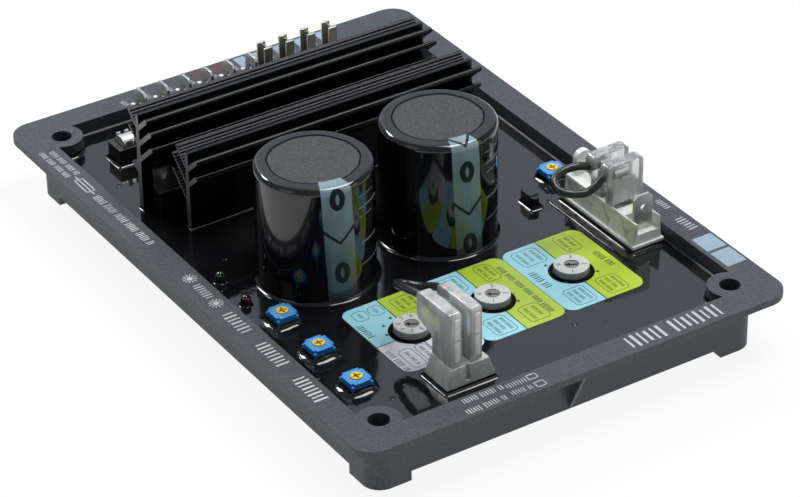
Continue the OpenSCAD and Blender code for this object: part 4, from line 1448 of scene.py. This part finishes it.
class Ink(Shape):
    """Flat print on a level surface, without words."""

    pitch: ClassVar[float] = 0.36
    word: ClassVar[int] = 6
    reaches: ClassVar[Triple] = (0.42, 0.5, 0.5)
    widths: ClassVar[Point] = (0.13, 0.18)
    rays: ClassVar[int] = 12
    ray_start: ClassVar[float] = 0.6
    ray_width: ClassVar[float] = 0.32
    lamp_share: ClassVar[float] = 0.42

    def __init__(self, level: float) -> None:
        """Starts a sheet of print at a height.

        Args:
            level: Height of the surface.
        """
        super().__init__()
        self.low = level
        self.high = level + FILM

    def spot(self, place: Point) -> Matrix:
        """Gives a place in the middle of the print's thickness."""
        return Matrix.Translation((*place, (self.low + self.high) / 2))

    def stroke(self, start: Point, end: Point, width: float, material: int = 0) -> None:
        """Prints a straight stroke."""
        self.line(start, end, width, self.low, self.high, material)

    def field(self, low: Point, high: Point, material: int = 0) -> None:
        """Prints a filled rectangle."""
        middle = ((low[0] + high[0]) / 2, (low[1] + high[1]) / 2)
        self.cube(self.spot(middle), (high[0] - low[0], high[1] - low[1], self.high - self.low), material)

    def dot(self, place: Point, radius: float, segments: int, material: int = 0) -> None:
        """Prints a filled disc."""
        self.rod(self.spot(place), radius, self.high - self.low, segments, material)

    def frame(self, low: Point, high: Point, width: float, cut: float = 0.0) -> None:
        """Prints the outline of a rectangle, with its corners cut off.

        Args:
            low: Its low corner.
            high: Its high corner.
            width: Width of the line.
            cut: Length that is cut from each side at a corner.
        """
        (x0, y0), (x1, y1) = low, high
        points = [(x0 + cut, y0), (x1 - cut, y0), (x1, y0 + cut), (x1, y1 - cut)]
        points += [(x1 - cut, y1), (x0 + cut, y1), (x0, y1 - cut), (x0, y0 + cut)]
        for start, end in zip(points, points[1:] + points[:1]):
            if math.dist(start, end) > TINY:
                self.stroke(start, end, width)

    def comb(self, start: Point, end: Point, tall: float) -> None:
        """Prints a row of upright strokes in place of words.

        Args:
            start: Middle of the row's first stroke.
            end: Middle of its last stroke.
            tall: Height of the longest stroke.
        """
        span = Vector(end) - Vector(start)
        along = span.normalized()
        across = Vector((-along.y, along.x))
        pitch = tall * self.pitch
        count = max(2, int(span.length / pitch))
        for i in range(count):
            if i % (self.word + 1) == self.word and i < count - 2:
                continue
            middle = Vector(start) + along * (span.length * i / (count - 1))
            reach = across * tall * self.reaches[i % 3]
            self.stroke(tuple(middle - reach), tuple(middle + reach), tall * self.widths[i % 2])

    def star(self, centre: Point, radius: float) -> None:
        """Prints a lamp symbol: a disc with rays.

        Args:
            centre: Its middle.
            radius: Reach of its rays.
        """
        self.dot(centre, radius * self.lamp_share, 2 * self.rays)
        middle = Vector(centre)
        for i in range(self.rays):
            turn = 2 * math.pi * i / self.rays
            ray = Vector((math.cos(turn), math.sin(turn))) * radius
            self.stroke(tuple(middle + ray * self.ray_start), tuple(middle + ray), self.ray_width)

    def pointer(self, tip: Point, towards: Point, size: float) -> None:
        """Prints a small triangle that points at a dial.

        Args:
            tip: Middle of the triangle.
            towards: What it points at.
            size: Its radius.
        """
        turn = math.atan2(towards[1] - tip[1], towards[0] - tip[0])
        place = self.spot(tip) @ Matrix.Rotation(turn - QUARTER, 4, "Z")
        self.rod(place, size, self.high - self.low, 3)


@dataclass
class FlangePrint:
    """Symbols, fields and rows of strokes on the flange."""

    terminals: int = 6
    terminal_start: float = -31.1
    terminal_pitch: float = 7.7
    terminal_dots: tuple[float, ...] = (0.6, 2.7)
    terminal_row: tuple[Point, Point, float] = ((-95.4, -1.7), (-92.8, -1.2), 1.6)
    dot_x: float = -92.4
    dot_radius: float = 0.66
    dot_sides: int = 14
    rows: tuple[tuple[Point, Point, float], ...] = (
        ((-82.0, -67.3), (-66.0, -66.9), 1.7), ((-81.0, -64.4), (-65.8, -63.9), 1.7),
        ((-51.5, -65.5), (-20.5, -64.7), 2.3), ((5.4, -64.9), (12.6, -64.9), 2.6),
        ((22.6, -65.1), (32.6, -65.0), 3.5), ((40.4, -65.1), (51.6, -65.0), 3.7),
        ((60.0, -65.2), (71.4, -65.2), 3.9), ((52.2, 66.4), (58.4, 66.9), 2.8),
        ((41.0, 67.2), (45.6, 67.4), 2.0), ((97.8, -36.6), (97.6, -24.4), 2.0),
        ((93.2, -34.8), (93.2, -22.6), 2.0), ((97.2, -22.0), (97.4, -16.0), 1.8),
        ((93.8, -21.4), (93.8, -15.6), 1.8), ((95.2, 17.6), (95.4, 47.0), 5.2),
    )
    stars: tuple[Point, ...] = ((1.4, -64.8), (16.2, -64.9))
    star_radius: float = 2.1
    squares: tuple[Span, ...] = (((92.6, -14.6), (94.6, -11.8)), ((96.4, -14.6), (98.6, -11.8)))
    square_line: float = 0.35
    fuse_width: float = 0.4
    fuse_box: Span = ((-62.6, -66.5), (-55.0, -64.0))
    fuse_line: Span = ((-64.5, -65.3), (-53.0, -65.2))
    blue_row: Point = (-99.0, -92.4)
    blue_spans: tuple[Point, ...] = ((8.2, 12.0), (14.2, 19.4), (21.9, 27.1), (29.6, 34.8), (37.3, 40.6))
    blue_pair: tuple[Span, ...] = (((63.2, 62.6), (70.8, 69.2)), ((71.9, 62.6), (80.0, 69.2)))
    red_row: Point = (-99.2, -94.4)
    red_spans: tuple[Point, ...] = ((-7.2, -3.0), (-1.4, 3.8))

    def build(self) -> None:
        """Prints everything on the flange."""
        ink = Ink(FLANGE_TOP)
        for row in self.rows:
            ink.comb(*row)
        ink.frame(*self.fuse_box, self.fuse_width)
        ink.stroke(*self.fuse_line, self.fuse_width)
        for place in self.stars:
            ink.star(place, self.star_radius)
        for square in self.squares:
            ink.frame(*square, self.square_line)
        for i in range(self.terminals):
            y = self.terminal_start + i * self.terminal_pitch
            for step in self.terminal_dots:
                ink.dot((self.dot_x, y + step), self.dot_radius, self.dot_sides, 3)
            (x0, y0), (x1, y1), tall = self.terminal_row
            ink.comb((x0, y + y0), (x1, y + y1), tall)
        blue = [tuple(zip(self.blue_row, span)) for span in self.blue_spans]
        red = [tuple(zip(self.red_row, span)) for span in self.red_spans]
        for material, fields in ((1, blue), (1, self.blue_pair), (2, red)):
            for low, high in fields:
                ink.field(low, high, material)
        ink.piece("flange_print", [INK_WHITE, INK_BLUE, INK_RED, INK_BRIGHT], "tray")


@dataclass
class LabelPrint:
    """The coloured selector label with its boxes, pointers and rows of strokes."""

    level: float = 14.65
    boxes: tuple[Span, ...] = (
        ((35.6, 19.4), (43.6, 27.4)), ((59.2, 20.6), (67.6, 27.4)), ((59.2, 31.6), (67.6, 38.4)),
        ((35.2, 34.0), (43.8, 39.2)), ((35.6, -7.2), (43.6, 0.8)), ((59.2, -6.2), (67.6, 0.8)),
        ((59.2, 5.4), (67.2, 12.0)), ((35.2, 6.6), (43.8, 11.6)), ((36.0, -34.2), (40.6, -30.0)),
        ((36.0, -29.2), (40.6, -25.0)), ((36.0, -21.6), (43.0, -14.0)), ((58.6, -33.4), (67.8, -29.2)),
        ((58.6, -28.2), (67.8, -24.8)), ((58.6, -22.0), (67.8, -14.6)),
    )
    box_line: float = 0.17
    box_cut: float = 0.9
    box_margin: float = 1.2
    row_pitch: float = 2.2
    row_start: float = 0.75
    row_spare: float = 0.5
    row_height: float = 1.05
    short_row: float = 0.8
    titles: tuple[tuple[Point, Point, float], ...] = (
        ((47.6, 40.4), (55.6, 40.8), 2.0), ((46.8, 19.2), (55.0, 19.4), 2.2),
        ((39.0, 13.2), (65.6, 13.2), 1.7), ((42.4, -35.2), (48.6, -35.0), 2.0),
        ((57.0, -35.4), (67.6, -35.4), 1.7),
    )
    pointers: tuple[Point, ...] = (
        (45.7, 24.9), (55.9, 24.6), (56.2, 35.2), (45.6, -1.9), (55.9, -1.9), (56.2, 8.2),
        (43.6, -25.8), (45.9, -29.4), (50.1, -31.0), (54.7, -30.0), (58.0, -26.8),
    )
    pointer_size: float = 0.75
    gap: Point = (5.3, 6.58)
    gap_low: float = 0.2

    def build(self) -> None:
        """Dresses the label, prints on it and paints shadow into the gap round each dial."""
        dress(LABEL, ["selector_label"])
        ink = Ink(self.level)
        for (x0, y0), (x1, y1) in self.boxes:
            ink.frame((x0, y0), (x1, y1), self.box_line, self.box_cut)
            rows = max(1, int((y1 - y0) / self.row_pitch))
            for i in range(rows):
                y = y0 + (i + self.row_start) * (y1 - y0) / (rows + self.row_spare)
                end = x1 - self.box_margin - self.short_row * (i % 2)
                ink.comb((x0 + self.box_margin, y), (end, y), self.row_height)
        for title in self.titles:
            ink.comb(*title)
        for tip in self.pointers:
            ink.pointer(tip, min(DIALS, key=lambda dial: math.dist(dial, tip)), self.pointer_size)
        ink.piece("label_print", [INK_BLACK], "label")
        # Rings of painted shadow in the gap round each dial
        gap_shadows = Shape()
        for dial in DIALS:
            gap_shadows.ring((*dial, RESIN_TOP - self.gap_low), *self.gap, self.gap_low + FILM)
        gap_shadows.piece("selector_gap_shadows", [GROOVE_SHADOW], "black_plastic")


# Links


@dataclass
class Link:
    """A plug-on link: its block, two soft boots and the wire between them."""

    name: str
    boot_places: Span
    turn: float
    seat: float
    front: float
    back: float
    skirt_rise: float
    height: float
    flag_rise: float
    loop: tuple[Triple, ...]
    boot_finish: Finish
    block_finish: Finish
    slope: float = 0.3
    skirt: float = 4.6
    thickness: float = 3.8
    front_round: float = 1.6
    end_round: float = 2.0
    boot_round: float = 0.5
    foot: float = 0.3
    flag_cut: float = 1.2
    shoulder: Point = (0.6, 0.5)
    arc_steps: tuple[int, int] = (4, 5)
    strips: tuple[Point, ...] = ((0.52, 0.9), (0.1, 0.48))
    strip_place: Point = (-0.1, 0.25)
    strip_size: Point = (0.7, 1.7)
    strip_round: float = 0.2
    wire_radius: float = 1.2
    wire_steps: int = 6
    block_round: float = 0.25
    wells: tuple[float, ...] = ()
    pane_size: Triple = (6.1, 0.4, 3.85)
    pane_y: float = 50.15
    pane_z: float = 21.675
    facet_front: float = -100.0
    facet_low: float = 16.9
    facet_high: float = 23.3

    def rounded_edge(self, edge: Edge) -> bool:
        """Tells whether an edge of the block is rounded, which those of its front facets aren't.

        Args:
            edge: The edge.

        Returns:
            Whether it is rounded.
        """
        front = all(v.co.y < self.facet_front for v in edge.verts)
        low, high = sorted(v.co.z for v in edge.verts)
        return not front or (high - low < 1.0 and not (low > self.facet_low and high < self.facet_high))

    def arc(self, x: float, z: float, radius: float, start: float, steps: int) -> list[Point]:
        """Gives the points of a quarter turn from a start angle about a middle."""
        turns = [start + QUARTER * i / steps for i in range(steps + 1)]
        return [(x + radius * math.cos(t), z + radius * math.sin(t)) for t in turns]

    def outline(self) -> list[Point]:
        """Gives the side outline of a boot, with the wire leaving to -X.

        Returns:
            X and height of each corner.
        """
        near, far = self.front_round, self.end_round
        end = self.height - self.slope
        wide, tall = self.shoulder
        first, second = self.arc_steps
        return [
            (self.front, self.foot),
            *self.arc(self.front - near, self.height - near, near, 0.0, first),
            *self.arc(-self.back + far, end - far, far, QUARTER, second),
            (-self.back, self.flag_rise + self.flag_cut),
            (-self.back + self.flag_cut, self.flag_rise),
            (-self.skirt - wide, self.skirt_rise + tall),
            (-self.skirt, self.skirt_rise - wide),
            (-self.skirt, self.foot),
        ]

    def boot(self, index: int) -> None:
        """Builds one boot with rounded edges and the strips on its front.

        Args:
            index: Number of the boot, from 0.
        """
        half = self.thickness / 2
        work = swept([(x, -half, z) for x, z in self.outline()], (0.0, self.thickness, 0.0))
        bmesh.ops.recalc_face_normals(work, faces=work.faces)
        rims = [e for e in work.edges if e.is_manifold and abs(e.verts[0].co.y - e.verts[1].co.y) < TINY]
        rounded(work, rims, self.boot_round, 3)
        turn = Matrix.Rotation(math.radians(self.turn), 4, "Z")
        place = Matrix.Translation((*self.boot_places[index], self.seat)) @ turn
        shape = Shape()
        shape.take(work, place)
        ahead, across = self.strip_place
        for low, high in self.strips:
            strip = Shape()
            middle = (self.front + ahead, across, (self.height * low + self.height * high) / 2)
            strip.box(middle, (*self.strip_size, self.height * high - self.height * low))
            rounded(strip.bm, strip.bm.edges[:], self.strip_round, 2)
            shape.take(strip.bm, place, 1)
        name = f"{self.name}_boot_{index + 1}"
        shape.piece(f"{name}_moulding", [self.boot_finish, FROSTED], "milky_plastic", [name], smooth=SOFT)

    def path(self) -> list[Vector]:
        """Gives the points of a smooth curve through the loop, without its first and last point.

        Returns:
            The points in order.
        """
        points = [Vector(p) for p in self.loop]
        path = []
        for a, b, c, d in zip(points, points[1:], points[2:], points[3:]):
            bend, twist = 2 * a - 5 * b + 4 * c - d, 3 * b - a - 3 * c + d
            steps = [step / self.wire_steps for step in range(self.wire_steps)]
            path += [(2 * b + (c - a) * t + bend * t**2 + twist * t**3) / 2 for t in steps]
        return [*path, points[-2]]

    def lead(self) -> None:
        """Builds the insulated wire along its loop."""
        path = self.path()
        ways = [(q - p).normalized() for p, q in zip(path, path[1:])]
        ways = [ways[0], *((p + q).normalized() for p, q in zip(ways, ways[1:])), ways[-1]]
        spot = Matrix.Translation(path[0]) @ ways[0].to_track_quat("Z", "Y").to_matrix().to_4x4()
        work = bmesh.new()
        bmesh.ops.create_circle(work, cap_ends=False, segments=16, radius=self.wire_radius, matrix=spot)
        rim = work.edges[:]
        bmesh.ops.edgeloop_fill(work, edges=rim)
        for i in range(1, len(path)):
            grown = bmesh.ops.extrude_edge_only(work, edges=rim)["geom"]
            verts = [g for g in grown if isinstance(g, Vert)]
            edges = [g for g in grown if isinstance(g, Edge)]
            rim = [e for e in edges if all(v in verts for v in e.verts)]
            bend = ways[i - 1].rotation_difference(ways[i]).to_matrix().to_4x4()
            place = Matrix.Translation(path[i]) @ bend @ Matrix.Translation(-path[i - 1])
            bmesh.ops.transform(work, matrix=place, verts=verts)
        bmesh.ops.edgeloop_fill(work, edges=rim)
        shape = Shape()
        shape.take(work)
        shape.piece(f"{self.name}_wire", [WIRE], "wire_sleeve", [f"{self.name}_lead"], smooth=SOFT)

    def build(self) -> None:
        """Builds the block, the boots and the wire."""
        block = f"{self.name}_block"
        shape = softened(block, self.block_round, keep=self.rounded_edge)
        for x in self.wells:
            shape.box((x, self.pane_y, self.pane_z), self.pane_size)
        shape.piece(f"{block}_moulding", [self.block_finish], "milky_plastic", [block])
        for index in range(len(self.boot_places)):
            self.boot(index)
        self.lead()


FRONT_LINK = Link(
    "front_link",
    ((77.4, -29.45), (77.4, -22.95)),
    turn=0.0,
    seat=21.4,
    front=4.6,
    back=12.0,
    skirt_rise=5.6,
    height=16.8,
    flag_rise=7.6,
    loop=(
        (76.0, -29.45, 35.4), (70.0, -29.45, 35.6), (65.4, -29.45, 35.3), (60.0, -29.6, 34.2),
        (54.6, -29.5, 32.6), (51.4, -28.2, 31.2), (52.4, -25.4, 30.4), (57.0, -23.6, 31.4),
        (61.0, -22.95, 33.4), (65.4, -22.95, 35.1), (70.0, -22.95, 35.6), (76.0, -22.95, 35.4),
    ),
    boot_finish=MILKY,
    block_finish=DULL,
)
SIDE_LINK = Link(
    "side_link",
    ((34.2, 54.1), (41.2, 54.1)),
    turn=90.0,
    seat=23.8,
    front=6.3,
    back=6.6,
    skirt_rise=5.2,
    height=13.8,
    flag_rise=6.6,
    loop=(
        (34.2, 56.0, 33.7), (34.2, 51.0, 33.7), (34.2, 47.5, 33.9), (33.8, 44.0, 34.8),
        (33.2, 39.6, 34.6), (33.8, 35.8, 33.2), (36.9, 34.8, 31.8), (40.0, 37.4, 31.0),
        (41.2, 41.6, 30.6), (41.4, 45.0, 31.8), (41.2, 47.5, 33.3), (41.2, 51.0, 33.7),
        (41.2, 56.0, 33.7),
    ),
    boot_finish=CLEAR,
    block_finish=FROSTED,
    wells=(34.2, 41.2, 51.2),
    facet_front=50.6,
)


# Scene


@dataclass
class Studio:
    """Floor, soft lights, pale background and the camera at the photograph's angle."""

    lens: float = 153.36
    sensor: float = 36.0
    clip: Point = (0.01, 20.0)
    camera_place: Triple = (0.703067, -0.441170, 0.534190)
    right: Triple = (0.5431134852, 0.8395592218, -0.0129636124)
    down: Triple = (0.4454969004, -0.3012114998, -0.8430920140)
    forward: Triple = (-0.7117304644, 0.4521193929, -0.5376130585)
    floor_size: float = 6.0
    floor_place: Triple = (0.0, 0.0, -0.0002)
    floor_shade: Colour = (0.86, 0.86, 0.86)
    floor_roughness: float = 0.9
    glow: Colour = (1.0, 1.0, 1.0)
    glow_share: float = 0.9
    least_glow: float = 0.5
    fill: Colour = (0.13, 0.135, 0.14)
    backdrop: Colour = (0.26, 0.28, 0.30)
    aim: Triple = (0.0, 0.0, 0.02)
    lamps: tuple[tuple[str, Triple, Point, float, Colour], ...] = (
        ("far_card", (-1.49, 0.945, 0.94), (2.4, 1.2), 7.2, (0.74, 0.87, 1.0)),
        ("top_box", (0.02, 0.38, 1.1), (0.5, 0.5), 9.8, (1.0, 1.0, 1.0)),
        ("back_box", (-0.96, -0.2, 0.926), (0.5, 0.2), 8.0, (1.0, 1.0, 1.0)),
        ("left_box", (0.1, -1.1, 0.6), (0.5, 0.8), 0.8, (1.0, 1.0, 1.0)),
        ("right_box", (0.95, 0.75, 0.55), (0.7, 0.6), 1.5, (1.0, 1.0, 1.0)),
    )

    def camera(self) -> None:
        """Adds the camera and makes it the scene's."""
        data = bpy.data.cameras.new("camera")
        data.lens = self.lens
        data.sensor_width = self.sensor
        data.clip_start, data.clip_end = self.clip
        obj = bpy.data.objects.new("camera", data)
        bpy.context.scene.collection.objects.link(obj)
        rows = (Vector(self.right), -Vector(self.down), -Vector(self.forward))
        turn = Matrix(rows).transposed().to_4x4()
        obj.matrix_world = Matrix.Translation(self.camera_place) @ turn
        bpy.context.scene.camera = obj

    def floor(self) -> None:
        """Adds a pale floor that the camera sees as white where no shadow falls."""
        bm = bmesh.new()
        bmesh.ops.create_grid(bm, x_segments=1, y_segments=1, size=self.floor_size / 2)
        mesh = bpy.data.meshes.new("floor")
        bm.to_mesh(mesh)
        bm.free()
        obj = bpy.data.objects.new("floor", mesh)
        obj.location = self.floor_place
        bpy.context.scene.collection.objects.link(obj)
        sheet = SurfaceSheet("floor")
        sheet.give(sheet.shader.inputs["Base Color"], (*self.floor_shade, 1.0))
        sheet.give(sheet.shader.inputs["Roughness"], self.floor_roughness)
        glow = sheet.add("Emission", {"Color": (*self.glow, 1.0)}).outputs["Emission"]
        part = sheet.maths("MULTIPLY", sheet.seen(), self.glow_share)
        factor = sheet.maths("MAXIMUM", part, self.least_glow)
        sheet.share(factor, sheet.shader.outputs["BSDF"], glow, sheet.surface)
        mesh.materials.append(sheet.material)

    def lamp(self, name: str, place: Triple, size: Point, power: float, colour: Colour) -> None:
        """Adds a soft box that looks at the middle of the object.

        Args:
            name: Name of the lamp.
            place: Its middle in metres.
            size: Its two sides in metres.
            power: Its power in watts.
            colour: Colour of its light.
        """
        data = bpy.data.lights.new(name, "AREA")
        data.shape = "RECTANGLE"
        data.size, data.size_y = size
        data.energy = power
        data.color = colour
        obj = bpy.data.objects.new(name, data)
        look = Vector(self.aim) - Vector(place)
        obj.matrix_world = Matrix.Translation(place) @ look.to_track_quat("-Z", "Y").to_matrix().to_4x4()
        bpy.context.scene.collection.objects.link(obj)

    def light(self) -> None:
        """Adds a dim, even surrounding and the lamps."""
        world = bpy.data.worlds.new("studio")
        world.use_nodes = True
        sheet = NodeSheet(world.node_tree)
        dim = sheet.tree.nodes["Background"]
        sheet.give(dim.inputs["Color"], (*self.fill, 1.0))
        bright = sheet.add("Background", {"Color": (*self.backdrop, 1.0)}).outputs["Background"]
        surface = sheet.tree.nodes["World Output"].inputs["Surface"]
        sheet.share(sheet.seen(), dim.outputs["Background"], bright, surface)
        bpy.context.scene.world = world
        for lamp in self.lamps:
            self.lamp(*lamp)

    def build(self) -> None:
        """Builds the whole stage."""
        bpy.context.scene.view_settings.view_transform = "Standard"
        for step in (self.camera, self.floor, self.light):
            step()


def main() -> None:
    """Builds every piece in order, then the stage."""
    logging.basicConfig(level=logging.INFO)
    for part in (Tray(), Filling(), Metalwork(), PowerDevices(), Fuse()):
        part.build()
    first, second = CANS
    near = Stripe(angle=-10.0, lean=0.145, half_angle=15.3, marks=(47.9, 24.1), chevrons=(33.8,))
    far = Stripe(angle=-6.2, lean=0.134, half_angle=14.6, marks=(42.5, 18.7), chevrons=(28.5, 50.9))
    Can(1, first, near).build()
    Can(2, second, far).build()
    for index, place in enumerate(TRIMMERS, 1):
        Trimmer(index, place).build()
    dress(GREEN_LENS, ["green_lamp"])
    dress(RED_LENS, ["red_lamp"])
    for index, (place, numerals) in enumerate(zip(DIALS, DIAL_NUMERALS), 1):
        Selector(index, place, numerals).build()
    for part in (LabelPrint(), FlangePrint(), FRONT_LINK, SIDE_LINK, Studio()):
        part.build()


if __name__ == "__main__":
    main()
